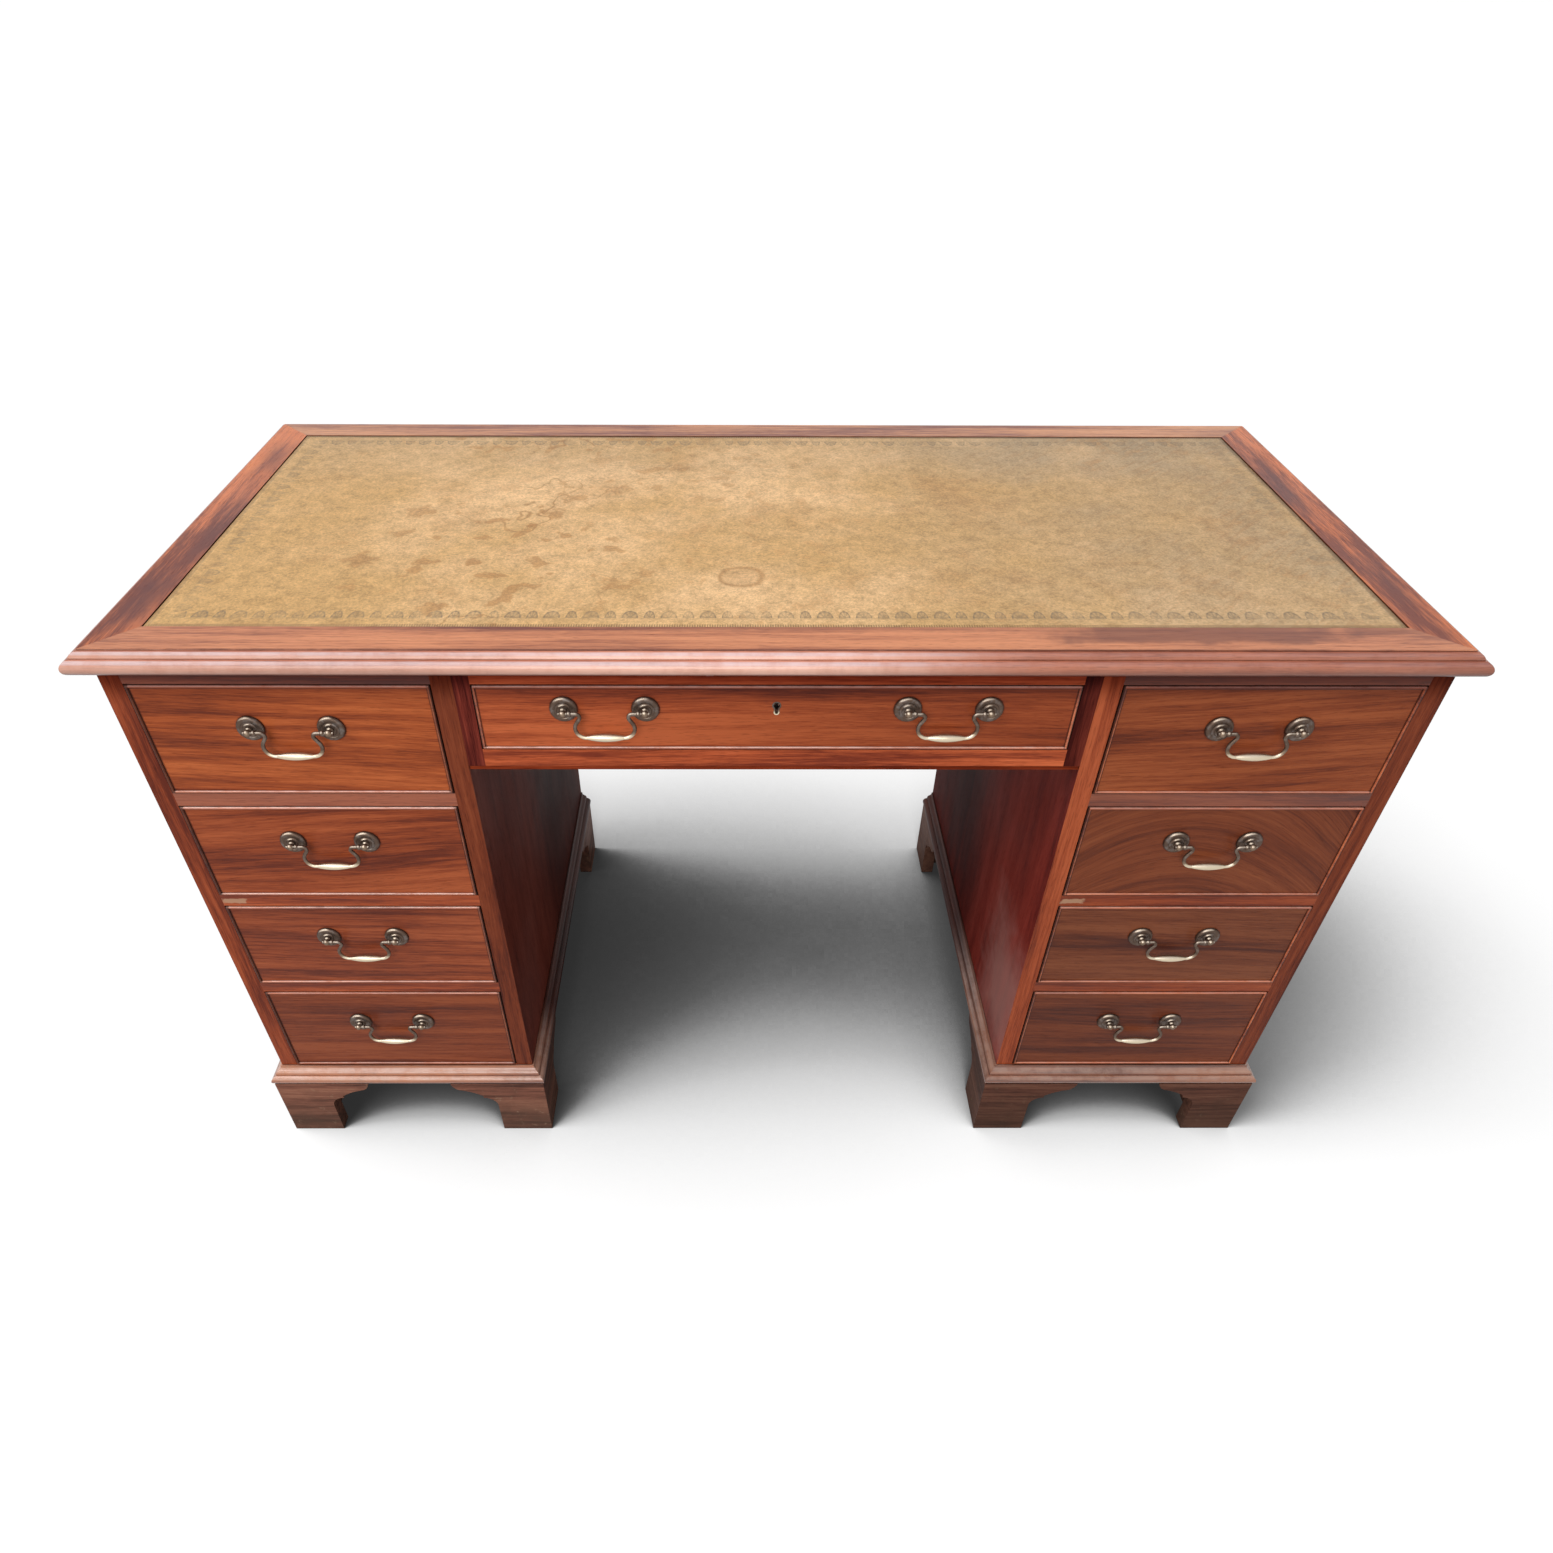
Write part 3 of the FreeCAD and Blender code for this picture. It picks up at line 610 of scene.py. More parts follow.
@dataclass(frozen=True)
class Grime:
    """Finish that darkens and dulls towards the floor, with scuffs on what feet and brooms meet."""

    base: Finish
    top: float
    soil: Colour = (0.10, 0.055, 0.035)
    scuff: Colour = (0.42, 0.27, 0.17)
    soil_share: float = 0.55
    patch_share: float = 0.35
    scuff_share: float = 0.45

    def surface(self, sheet: NodeSheet) -> Surface:
        """Write the base finish and soil it.

        Args:
            sheet: Node sheet to write on.

        Returns:
            The soiled surface.
        """
        surface = self.base.surface(sheet)
        place = sheet.place()
        _, _, z = sheet.split(place)
        low = z.step(self.top, self.top * 0.15)
        patch = sheet.noise(place, 16.0, 4.0, 0.65)
        soiled = low * self.soil_share + patch.step(0.45, 0.75) * self.patch_share
        soiled = soiled * z.step(self.top * 1.1, self.top * 0.9)
        colour = sheet.mix(soiled, surface.colour, self.soil)
        rub = sheet.noise(place, 85.0, 4.0, 0.7).step(0.58, 0.72) * patch.step(0.42, 0.6)
        surface.colour = sheet.mix(rub * self.scuff_share, colour, self.scuff)
        surface.roughness = surface.roughness + soiled * 0.2 + rub * 0.15
        return surface


@dataclass(frozen=True)
class Leather:
    """Worn tan hide with a tooled border: a hatched line, a plain strip and a row of fans."""

    middle_y: float
    half_x: float
    half_y: float
    tan: Colour = (0.945, 0.618, 0.330)
    ochre: Colour = (0.690, 0.420, 0.175)
    grey: Colour = (0.460, 0.330, 0.200)
    stain: Colour = (0.450, 0.225, 0.080)
    ink: Colour = (0.200, 0.150, 0.095)
    soot: Colour = (0.130, 0.075, 0.042)
    ring_at: Tuple[float, float] = (-0.035, -0.155)
    ring_radius: float = 0.026
    hatch_start: float = 1.2 * MM
    hatch_end: float = 6.2 * MM
    hatch_pitch: float = 2.5 * MM
    strip_end: float = 17.0 * MM
    line_width: float = 0.7 * MM
    fan_start: float = 19.0 * MM
    fan_height: float = 15.5 * MM
    fan_period: float = 39.2 * MM
    wide_fan: float = 17.2 * MM
    narrow_fan: float = 11.8 * MM
    fan_ribs: float = 9.0
    cloud_scale: float = 3.2
    dust_scale: float = 7.5
    comb_waves: Tuple[float, float] = (14.0, 130.0)
    comb_share: float = 0.35
    smudge_scale: float = 11.0
    smudge_share: float = 0.40
    spot_scale: float = 30.0
    spot_share: float = 0.72
    vein_scale: float = 4.0
    vein_share: float = 0.7
    mottle_scale: float = 60.0
    speck_scale: float = 380.0
    mottle_stops: Tuple[Tuple[float, Colour], ...] = ((0.36, (0.58, 0.56, 0.52)), (0.64, (1.26, 1.26, 1.25)))
    pebble_scale: float = 620.0
    pebble_height: float = 0.05 * MM
    pressed: float = 0.16 * MM

    def surface(self, sheet: NodeSheet) -> Surface:
        """Write the nodes of the leather.

        Args:
            sheet: Node sheet to write on.

        Returns:
            Colour, roughness and height of the leather.
        """
        place = sheet.place()
        x, y, _ = sheet.split(place)
        gap_x = self.half_x - abs(x)
        gap_y = self.half_y - abs(y - self.middle_y)
        edge = gap_x.least(gap_y)
        on_end = gap_x < gap_y
        run = sheet.blend(on_end, x, y)
        colour = self._field(sheet, place, x, y)
        worn = sheet.noise(place, 21.0, 4.0, 0.6)
        ink, hatch = self._border(sheet, edge, run)
        rubbed = worn.step(0.30, 0.58) * 0.8 + 0.2
        faded = 1 - on_end * 0.35 - y.step(0.05, 0.26) * 0.15
        colour = sheet.mix(ink * rubbed * faded, colour, self.ink)
        colour = sheet.mix(hatch * (1 - on_end * 0.3), colour, self.soot)
        rim = edge.step(2.2 * MM, 0.6 * MM)
        colour = sheet.mix(rim * 0.8, colour, self.soot)
        pebble = sheet.cells(place, self.pebble_scale)
        fine = sheet.noise(place, 900.0, 2.0)
        height = pebble * self.pebble_height + fine * (0.04 * MM) - ink * self.pressed
        roughness = worn * 0.18 + fine * 0.08 + 0.42
        return Surface(colour, roughness, height, worn * 0.0)

    def _field(self, sheet: NodeSheet, place: Value, x: Value, y: Value) -> Value:
        """Tan of the open field, with its smudges, spots, ring and hairlines.

        Args:
            sheet: Node sheet to write on.
            place: Place of the shaded point.
            x: Its place along the front.
            y: Its place in depth.

        Returns:
            The colour of the field.
        """
        cloud = sheet.noise(place, self.cloud_scale, 4.0, 0.6)
        colour = sheet.mix(cloud.step(0.34, 0.62), self.tan, self.ochre)
        left = x.step(-0.25, -0.60) * 0.7 + y.step(-0.15, -0.28) * 0.3
        colour = sheet.mix(left, colour, self.ochre)
        dust = sheet.noise(place, self.dust_scale, 6.0, 0.68)
        right = x.step(0.0, 0.50) * 0.8 + y.step(0.06, 0.24) * 0.45
        colour = sheet.mix(right * (dust.step(0.25, 0.70) * 0.7 + 0.3), colour, self.grey)
        comb_at = sheet.join((x + y) * self.comb_waves[0], (x - y) * self.comb_waves[1], 0.0)
        comb = sheet.noise(comb_at, detail=3.0, roughness=0.6).step(0.48, 0.66)
        combed = comb * x.step(0.12, 0.42) * dust.step(0.36, 0.58) * self.comb_share
        colour = sheet.mix(combed, colour, self.stain)
        smudge = sheet.noise(place, self.smudge_scale, 6.0, 0.66).step(0.53, 0.72)
        colour = sheet.mix(smudge * self.smudge_share, colour, self.stain)
        gate = sheet.noise(place, 4.5, 1.0).step(0.42, 0.58)
        spot = sheet.noise(place, self.spot_scale, 3.0, 0.6).step(0.56, 0.63) * gate
        spot = spot * (x.near(-0.30, 0.42) * 0.6 + 0.4)
        colour = sheet.mix(spot * self.spot_share, colour, self.stain)
        vein = abs(sheet.noise(place, self.vein_scale, 4.0, 0.55) - 0.5).step(0.0050, 0.001)
        colour = sheet.mix(vein * gate * x.near(-0.26, 0.22) * self.vein_share, colour, self.stain)
        colour = sheet.mix(self._ring(sheet, place, x, y), colour, self.stain)
        mottle = sheet.noise(place, self.mottle_scale, 5.0, 0.75)
        speck = sheet.noise(place, self.speck_scale, 3.0, 0.8)
        shade = sheet.ramp(mottle * 0.45 + speck * 0.55, self.mottle_stops)
        return sheet.mix(1.0, colour, shade, "MULTIPLY")

    def _ring(self, sheet: NodeSheet, place: Value, x: Value, y: Value) -> Value:
        """Stain of a round foot, broken along its rim.

        Args:
            sheet: Node sheet to write on.
            place: Place of the shaded point.
            x: Its place along the front.
            y: Its place in depth.

        Returns:
            Share of the stain.
        """
        across = (x - self.ring_at[0]) / self.ring_radius
        deep = (y - self.ring_at[1]) / self.ring_radius
        fray = (sheet.noise(place, 40.0, 3.0) - 0.5) * 0.35
        radius = (across * across + deep * deep).math("SQRT") + fray
        return radius.near(0.85, 0.22) * 0.62 + radius.step(0.95, 0.5) * 0.30

    def _border(self, sheet: NodeSheet, edge: Value, run: Value) -> Tuple[Value, Value]:
        """Tooling round the edge.

        Args:
            sheet: Node sheet to write on.
            edge: Distance from the nearest edge.
            run: Place along that edge.

        Returns:
            Share of the pressed ink of fans and lines, and of the hatched line.
        """
        turn = (run / self.fan_period) % 1.0
        narrow = turn > 0.5
        centre = narrow * 0.5 + 0.25
        half = narrow * ((self.narrow_fan - self.wide_fan) / 2) + self.wide_fan / 2
        out = (turn - centre) * self.fan_period / half
        rise = (edge - self.fan_start) / self.fan_height
        radius = (out * out + rise * rise).math("SQRT")
        inside = radius.step(1.06, 0.92) * rise.step(-0.03, 0.04)
        rib = ((rise.math("ARCTAN2", out)) * self.fan_ribs).math("SINE") * 0.5 + 0.5
        rim = radius.near(0.88, 0.16)
        heart = radius.step(0.42, 0.22)
        fan = inside * (rib * 0.30 + rim * 0.35 + heart * 0.25 + 0.22)
        tick = ((run / self.hatch_pitch) % 1.0).near(0.5, 0.42)
        band = edge.step(self.hatch_start - 0.3 * MM, self.hatch_start) * edge.step(
            self.hatch_end + 0.3 * MM, self.hatch_end
        )
        hatch = band * (tick * 0.6 + 0.15)
        lines = edge.near(self.strip_end, self.line_width)
        lines = lines + edge.near(self.strip_end + 2 * self.line_width, self.line_width)
        return (fan + lines * 0.3).least(1.0), hatch


@dataclass(frozen=True)
class AgedBrass:
    """Brass gone brown, bright again where hands or cloths have rubbed it."""

    bright_zone: Callable[[NodeSheet, Value], Value]
    dark: Colour = (0.105, 0.070, 0.052)
    middle: Colour = (0.225, 0.160, 0.110)
    bright: Colour = (0.640, 0.545, 0.400)
    bloom: Colour = (0.185, 0.165, 0.160)

    def surface(self, sheet: NodeSheet) -> Surface:
        """Write the nodes of the brass.

        Args:
            sheet: Node sheet to write on.

        Returns:
            Colour, roughness and height of the brass.
        """
        place = sheet.place()
        cloud = sheet.noise(place, 160.0, 4.0, 0.62)
        fine = sheet.noise(place, 900.0, 3.0, 0.6)
        rubbed = self.bright_zone(sheet, place) + (cloud - 0.5) * 0.5
        dark = sheet.mix(cloud.step(0.45, 0.7) * 0.7, self.dark, self.bloom)
        colour = sheet.mix(rubbed.step(0.0, 0.5), dark, self.middle)
        colour = sheet.mix(rubbed.step(0.5, 1.0), colour, self.bright)
        roughness = 0.42 - rubbed.step(0.3, 1.0) * 0.10 + fine * 0.18
        height = cloud * (0.05 * MM) + fine * (0.02 * MM)
        return Surface(colour, roughness, height, rubbed * 0.0)


@dataclass(frozen=True)
class DullIron:
    """Dark iron of the lock, with a bloom of rust."""

    iron: Colour = (0.11, 0.10, 0.095)
    rust: Colour = (0.20, 0.095, 0.05)

    def surface(self, sheet: NodeSheet) -> Surface:
        """Write the nodes of the iron.

        Args:
            sheet: Node sheet to write on.

        Returns:
            Colour, roughness and height of the iron.
        """
        place = sheet.place()
        cloud = sheet.noise(place, 120.0, 5.0, 0.65)
        colour = sheet.mix(cloud.step(0.5, 0.72) * 0.7, self.iron, self.rust)
        return Surface(colour, cloud * 0.3 + 0.35, cloud * (0.05 * MM), cloud * 0.0)


Tones = Dict[str, Colour]
FRONT_TONES: Tones = {
    "light": (0.700, 0.185, 0.065),
    "middle": (0.480, 0.108, 0.036),
    "dark": (0.200, 0.038, 0.016),
}
RED_TONES: Tones = {
    "light": (0.420, 0.085, 0.050),
    "middle": (0.250, 0.042, 0.028),
    "dark": (0.100, 0.016, 0.013),
}
FOOT_TONES: Tones = {
    "light": (0.480, 0.215, 0.138),
    "middle": (0.320, 0.128, 0.086),
    "dark": (0.110, 0.050, 0.038),
    "soil": (0.135, 0.076, 0.055),
    "scuff": (0.500, 0.320, 0.210),
}
LINING_TONES: Tones = {
    "light": (0.560, 0.380, 0.215),
    "middle": (0.450, 0.290, 0.155),
    "dark": (0.270, 0.155, 0.075),
}


def scaled(tones: Tones, red: float, green: float, blue: float) -> Tones:
    """Tones with each part multiplied by its share."""
    return {name: (tone[0] * red, tone[1] * green, tone[2] * blue) for name, tone in tones.items()}


def toned(red: float, green: float, blue: float) -> Tones:
    """Tones of a board by their shares of the usual fronts' red, green and blue."""
    return scaled(FRONT_TONES, red, green, blue)


def mahogany(grain: Grain, seed: float, **changes: Any) -> Wood:
    """Orange-brown mahogany of fronts and rails, by its grain, its place in the log and other fields."""
    return Wood(**{**FRONT_TONES, **changes}, grain=grain, seed=seed)


def lining(grain: Grain, seed: float) -> Wood:
    """Bare pale wood inside the desk."""
    return Wood(**LINING_TONES, grain=grain, seed=seed, roughness=0.6)


def dress_nodes(material_name: str, finish: Finish, polish: Polish, *nodes: str) -> None:
    """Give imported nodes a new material.

    Args:
        material_name: Name of the material.
        finish: Finish that varies over the surface.
        polish: Shader values that don't.
        nodes: Names of the nodes.
    """
    material = make_material(material_name, finish, polish)
    for node in nodes:
        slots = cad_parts[node].data.materials
        slots.clear()
        slots.append(material)
        LOG.info("%s wears %s", node, material.name)


def under_top() -> float:
    """Height of the underside of the top's moulded edge."""
    low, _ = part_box("top_front_moulding")
    return low.z


@dataclass
class DeskTop:
    """Mitred frame and the leather let into it."""

    cells_along: int = 150
    cells_deep: int = 64
    ripple: float = 0.22 * MM
    ripple_waves: Tuple[float, float] = (7.0, 23.0)
    edge_gap: float = 0.9 * MM
    edge_drop: float = 0.25 * MM
    fray: float = 2.6 * MM
    fray_waves: float = 17.0
    edge_top: float = 0.3 * MM
    half_frame: float = 45.0 * MM

    def build(self) -> None:
        """Make the leather skin in place of its plain solid."""
        low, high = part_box("leather_inset")
        middle = (low + high) / 2
        half = (high - low) / 2
        mesh = bmesh.new()
        bmesh.ops.create_grid(mesh, x_segments=self.cells_along, y_segments=self.cells_deep, size=1.0)
        bmesh.ops.scale(mesh, vec=(half.x - self.edge_gap, half.y - self.edge_gap, 1.0), verts=mesh.verts)
        bmesh.ops.translate(mesh, vec=(middle.x, middle.y, high.z), verts=mesh.verts)
        long_wave, short_wave = self.ripple_waves
        for vert in mesh.verts:
            wave = noise.noise(vert.co * long_wave) + 0.5 * noise.noise(vert.co * short_wave)
            vert.co.z += self.ripple * (0.45 * wave - 0.5)
            if vert.is_boundary:
                vert.co.z -= self.edge_drop
                self._fray_edge(vert, middle, half)
        made = bmesh.ops.extrude_face_region(mesh, geom=mesh.faces[:])
        lower = [item for item in made["geom"] if isinstance(item, bmesh.types.BMVert)]
        for vert in lower:
            vert.co.z = low.z
        bmesh.ops.recalc_face_normals(mesh, faces=mesh.faces)
        data = bpy.data.meshes.new("leather_skin")
        mesh.to_mesh(data)
        mesh.free()
        data.polygons.foreach_set("use_smooth", [True] * len(data.polygons))
        skin = bpy.data.objects.new("leather_skin", data)
        bpy.context.scene.collection.objects.link(skin)
        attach(skin, "desk")
        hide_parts("leather_inset")
        leather = Leather(middle.y, half.x, half.y)
        data.materials.append(make_material("tooled_leather", leather, HIDE))
        LOG.info("%s stands for leather_inset", skin.name)

    def _fray_edge(self, vert: bmesh.types.BMVert, middle: Vector, half: Vector) -> None:
        """Wear a vertex of the leather's ends inwards, most at the right.

        Args:
            vert: Vertex on the edge.
            middle: Middle of the leather.
            half: Its half sizes.
        """
        side = (vert.co.x - middle.x) / half.x
        deep = (vert.co.y - middle.y) / half.y
        if abs(side) > 0.99:
            worn = max(0.0, noise.noise(Vector((0.0, vert.co.y * self.fray_waves, side))) + 0.35)
            share = 1.0 if side > 0 and deep > -0.3 else 0.25
            vert.co.x -= math.copysign(self.fray * worn * share, side)

    def dress(self) -> None:
        """Give the frame and the panel their woods."""
        flat = {"light": (0.74, 0.275, 0.120), "middle": (0.54, 0.180, 0.076), "coat": 0.25}
        far = {"light": (0.77, 0.330, 0.143), "middle": (0.56, 0.218, 0.091), "coat": 0.25}
        end = {"light": (0.84, 0.262, 0.084), "middle": (0.68, 0.186, 0.062), "coat": 0.05}
        edge = {"light": (0.74, 0.30, 0.19), "middle": (0.60, 0.20, 0.11), "coat": 0.7}
        edge["dark"] = (0.40, 0.12, 0.06)
        # Dimmer copy of the edge's wood, for where its painted highlight fades.
        dim = {"light": (0.46, 0.14, 0.07), "middle": (0.33, 0.09, 0.045), "coat": 0.4}
        pale = self._painted_edge_light(mahogany(Grain.X, 1.2, **edge), 0.86)
        highlighted_edge = Zoned(pale, self._painted_edge_light(mahogany(Grain.X, 1.2, **dim), 0.15), self._highlight_falloff_zone)
        front = Zoned(mahogany(Grain.X, 1.7, **flat), highlighted_edge, self._edge_zone)
        back = Zoned(mahogany(Grain.X, 5.1, **far), mahogany(Grain.X, 5.6, **edge), self._edge_zone)
        broad = mahogany(Grain.Y, 2.9, **end, streak_width=0.02)
        ends = Zoned(broad, mahogany(Grain.Y, 3.4, **dim), self._edge_zone)
        front = Marked(front, self._front_marks())
        ends = Marked(ends, self._end_marks())
        dress_nodes("mahogany_top_front", front, FRENCH_POLISH, "top_front_moulding")
        dress_nodes("mahogany_top_back", back, FRENCH_POLISH, "top_back_moulding")
        dress_nodes("mahogany_top_ends", ends, FRENCH_POLISH, "top_end_mouldings")
        dress_nodes("top_panel_wood", lining(Grain.X, 9.0), BARE, "top_panel")

    @staticmethod
    def _painted_edge_light(wood: Wood, share: float) -> PaintedFacingLight:
        """Wood of the moulded edge, with painted highlights along its roll and ovolo and painted shade on its
        downward faces.

        Args:
            wood: Wood of the edge.
            share: Strength of the painted highlights.

        Returns:
            The finish.
        """
        # Painted highlight on the front of the roll, painted reflection on the crest of the ovolo, painted
        # shade on downward faces.
        roll = PaintedFacingLight(wood, (1.0, 0.585, 0.45), share, (0.0, -1.0, 0.0), 0.55, 0.95, 0.3)
        crest = PaintedFacingLight(roll, (0.92, 0.79, 0.84), share * 0.67, (0.0, -0.6, 0.8), 0.93, 1.0, 0.4)
        return PaintedFacingLight(crest, (0.10, 0.020, 0.016), 0.9, (0.0, 0.0, -1.0), 0.25, 0.75, 0.1)

    def _edge_zone(self, sheet: NodeSheet) -> Value:
        """One on the moulded edge below the flat of the frame."""
        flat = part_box("top_front_moulding")[1].z
        return sheet.split(sheet.place())[2] < flat - self.edge_top

    @staticmethod
    def _highlight_falloff_zone(sheet: NodeSheet) -> Value:
        """Rises away from the middle of the front, less at the left, where the painted highlight of the edge
        fades.
        """
        x, _, _ = sheet.split(sheet.place())
        return x.step(0.04, 0.26).most(x.step(-0.12, -0.38) * 0.42)

    def _front_marks(self) -> Tuple[Mark, ...]:
        """Place the dark heartwood, a chip and the painted shade in the quirk of the front length.

        Returns:
            The marks.
        """
        low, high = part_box("top_front_moulding")
        flat = low.y + self.half_frame + 1.0 * MM
        heart = (0.17, 0.055, 0.040)
        chip = (0.90, 0.80, 0.78)
        quirk = low.y + 15.6 * MM
        return (
            Mark((0.42, flat, high.z), (0.170, 0.022, 0.02), heart, 0.70, 0.5, 22.0, 0.45),
            Mark((0.60, flat + 0.008, high.z), (0.045, 0.012, 0.02), heart, 0.55, 0.5, 22.0, 0.5),
            Mark((-0.066, low.y + 0.004, low.z + 0.0045), (0.0042, 0.012, 0.0016), chip, 0.95, 0.3, 300.0),
            # Painted shade along the quirk between the flat and the ovolo.
            Mark((0.0, quirk, high.z - 0.0008), (0.70, 0.0013, 0.002), heart, 0.7, 0.5, 40.0, 0.5),
            Mark((0.0, high.y - 0.002, high.z), (0.66, 0.011, 0.02), heart, 0.45, 0.5, 60.0, 0.95),
        )

    def _end_marks(self) -> Tuple[Mark, ...]:
        """Place the dark heartwood on the two end lengths.

        Returns:
            The marks.
        """
        low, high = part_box("top_end_mouldings")
        heart = (0.105, 0.028, 0.028)
        inner = high.x - self.half_frame
        patches = (
            (-inner - 0.004, 0.115, 0.032, 0.100, 0.80),
            (-inner + 0.006, 0.30, 0.018, 0.17, 0.62),
            (-inner, 0.50, 0.026, 0.08, 0.68),
            (inner - 0.004, 0.42, 0.022, 0.14, 0.74),
            (inner + 0.010, 0.16, 0.022, 0.11, 0.45),
        )
        return tuple(
            Mark((x, low.y + back, high.z), (wide, deep, 0.03), heart, share, 0.35, 18.0, 0.95)
            for x, back, wide, deep, share in patches
        )


@dataclass
class Pedestal:
    """One pedestal: sides, rails, base moulding and feet; its back is dressed with the centre section."""

    name: str
    seed: float
    shade: float
    stiles: Mapping[str, float]
    rail: Tones
    painted_floor_reflection: float
    foot_shade: float
    flank: Tones
    painted_shade_from: Tuple[float, float]
    foot_height: float = 106.0 * MM
    moulding_top: float = 130.0 * MM
    low_rails: float = 520.0 * MM
    chipped_rail: float = 441.0 * MM
    stile_edge: float = 0.3 * MM

    def dress(self) -> None:
        """Give each piece of the pedestal its wood."""
        for place, share in self.stiles.items():
            self._dress_side(place, share)
        self._dress_rails()
        self._dress_base()
        self._dress_feet()

    def _dress_side(self, place: str, share: float) -> None:
        """Give a side its wood.

        Args:
            place: Which of the two sides.
            share: Share of the usual tones on its front edge.
        """
        edge = toned(share * 0.80, share * 0.68, share * 0.7)
        stile = mahogany(Grain.Z, self.seed + 2.0, **edge, coat=0.15)
        tones = {"contrast": 0.9, **self.flank}
        if place == "outer":
            tones = {"coat": 0.3, **toned(0.50, 0.46, 0.55)}
        flank = mahogany(Grain.Z, self.seed, **tones, streak_width=0.03, roughness=0.55)
        # The stile carries a painted shadow of the top's overhang.
        side = Zoned(Marked(flank, self._flank_marks()), PaintedOverhangShadow(stile, under_top()), self._stile_zone)
        dress_nodes(f"{self.name}_{place}_mahogany", side, DULL_POLISH, f"{self.name}_{place}_side")

    def _dress_rails(self) -> None:
        """Give the rails their wood, duller below, with painted highlight on their upper faces and painted
        shadow under the top, and the runners theirs.
        """
        # Tone of the painted highlight on the rails' upward faces.
        pale = (0.55, 0.30, 0.22)
        upper = PaintedFacingLight(mahogany(Grain.X, self.seed + 4.0, **self.rail, coat=0.45), pale, 0.5)
        dull = scaled(self.rail, 1.50, 1.28, 0.96)
        lower = PaintedFacingLight(mahogany(Grain.X, self.seed + 4.0, **dull, coat=0.08), pale, 0.4)
        rails = PaintedOverhangShadow(Zoned(upper, lower, self._low_zone), under_top(), 20.0 * MM)
        rails = Marked(rails, self._rail_chips())
        dress_nodes(f"{self.name}_rail_mahogany", rails, WORN_POLISH, f"{self.name}_drawer_rails")
        runners = lining(Grain.Y, self.seed)
        dress_nodes(f"{self.name}_runner_wood", runners, BARE, f"{self.name}_drawer_runners")

    def _dress_base(self) -> None:
        """Give the base moulding its wood, with painted highlight, partly wear, on its upper faces at the
        front and painted shade behind.
        """
        shade = self.shade
        lit = self._mitred("base_moulding", toned(0.84 * shade, 1.10 * shade, 1.3 * shade), 1.0)
        # Painted highlight, partly wear, on the upward faces of the moulding.
        lit = PaintedFacingLight(Grime(lit, self.moulding_top), (0.74 * shade, 0.50 * shade, 0.40 * shade), 0.50)
        shaded_wood = mahogany(Grain.Y, self.seed + 7.0, **toned(0.16, 0.14, 0.20))
        base = Zoned(lit, shaded_wood, self._painted_shade_zone)
        dress_nodes(f"{self.name}_base_mahogany", base, WORN_POLISH, f"{self.name}_base_moulding")

    def _dress_feet(self) -> None:
        """Give the feet their scuffed wood."""
        brown = scaled(FOOT_TONES, self.foot_shade, self.foot_shade, self.foot_shade)
        soil, scuff = brown.pop("soil"), brown.pop("scuff")
        feet = Grime(self._mitred("feet", brown, 0.0), self.foot_height, soil, scuff)
        dress_nodes(f"{self.name}_foot_mahogany", feet, DULL_POLISH, f"{self.name}_feet")

    def _mitred(self, part: str, tones: Tones, coat: float) -> Zoned:
        """Wood of a mitred piece, whose grain turns at its front corners.

        Args:
            part: Name of the piece without the pedestal's.
            tones: Light, middle and dark tones of the wood.
            coat: Weight of its polish.

        Returns:
            The finish.
        """
        low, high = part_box(f"{self.name}_{part}")
        middle = (low.x + high.x) / 2
        half = (high.x - low.x) / 2

        def runs_back(sheet: NodeSheet) -> Value:
            """One on the lengths that run back from the front corners."""
            x, y, _ = sheet.split(sheet.place())
            return (y - low.y) > (half - abs(x - middle))

        along = mahogany(Grain.X, self.seed + 6.0, **tones, coat=coat)
        return Zoned(along, mahogany(Grain.Y, self.seed + 7.0, **tones, coat=coat), runs_back)

    def _flank_marks(self) -> Tuple[Mark, ...]:
        """Place the painted reflection of the floor low on the kneehole's flank and the painted shade towards
        its back.

        Returns:
            The marks.
        """
        low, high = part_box(f"{self.name}_inner_side")
        wall = high.x if self.name == "left" else low.x
        # Painted shade deep in the kneehole and a painted reflection of the pale floor low at its front.
        dark = (0.018, 0.004, 0.004)
        painted_floor_reflection = (0.53, 0.26, 0.225)
        return (
            Mark((wall, low.y + 0.44, 0.42), (0.004, 0.30, 0.60), dark, 0.82, 0.3, 6.0, 0.8),
            Mark((wall, low.y + 0.05, 0.22), (0.004, 0.13, 0.15), painted_floor_reflection, self.painted_floor_reflection, 0.5, 14.0, 0.9),
        )

    def _rail_chips(self) -> Tuple[Mark, ...]:
        """Place a pale bruise at the left end of the rail below the second drawer.

        Returns:
            The mark.
        """
        low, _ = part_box(f"{self.name}_drawer_rails")
        middle = (low.x + 14.0 * MM, low.y, self.chipped_rail)
        return (Mark(middle, (0.015, 0.01, 0.0042), (0.62, 0.36, 0.22), 0.8, 0.5, 120.0),)

    def _low_zone(self, sheet: NodeSheet) -> Value:
        """One on the rails below the second drawer."""
        _, _, z = sheet.split(sheet.place())
        return z < self.low_rails

    def _painted_shade_zone(self, sheet: NodeSheet) -> Value:
        """Rises to one away from the front, where painted shade darkens the moulding."""
        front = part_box(f"{self.name}_base_moulding")[0].y
        return (sheet.split(sheet.place())[1] - front).step(*self.painted_shade_from)

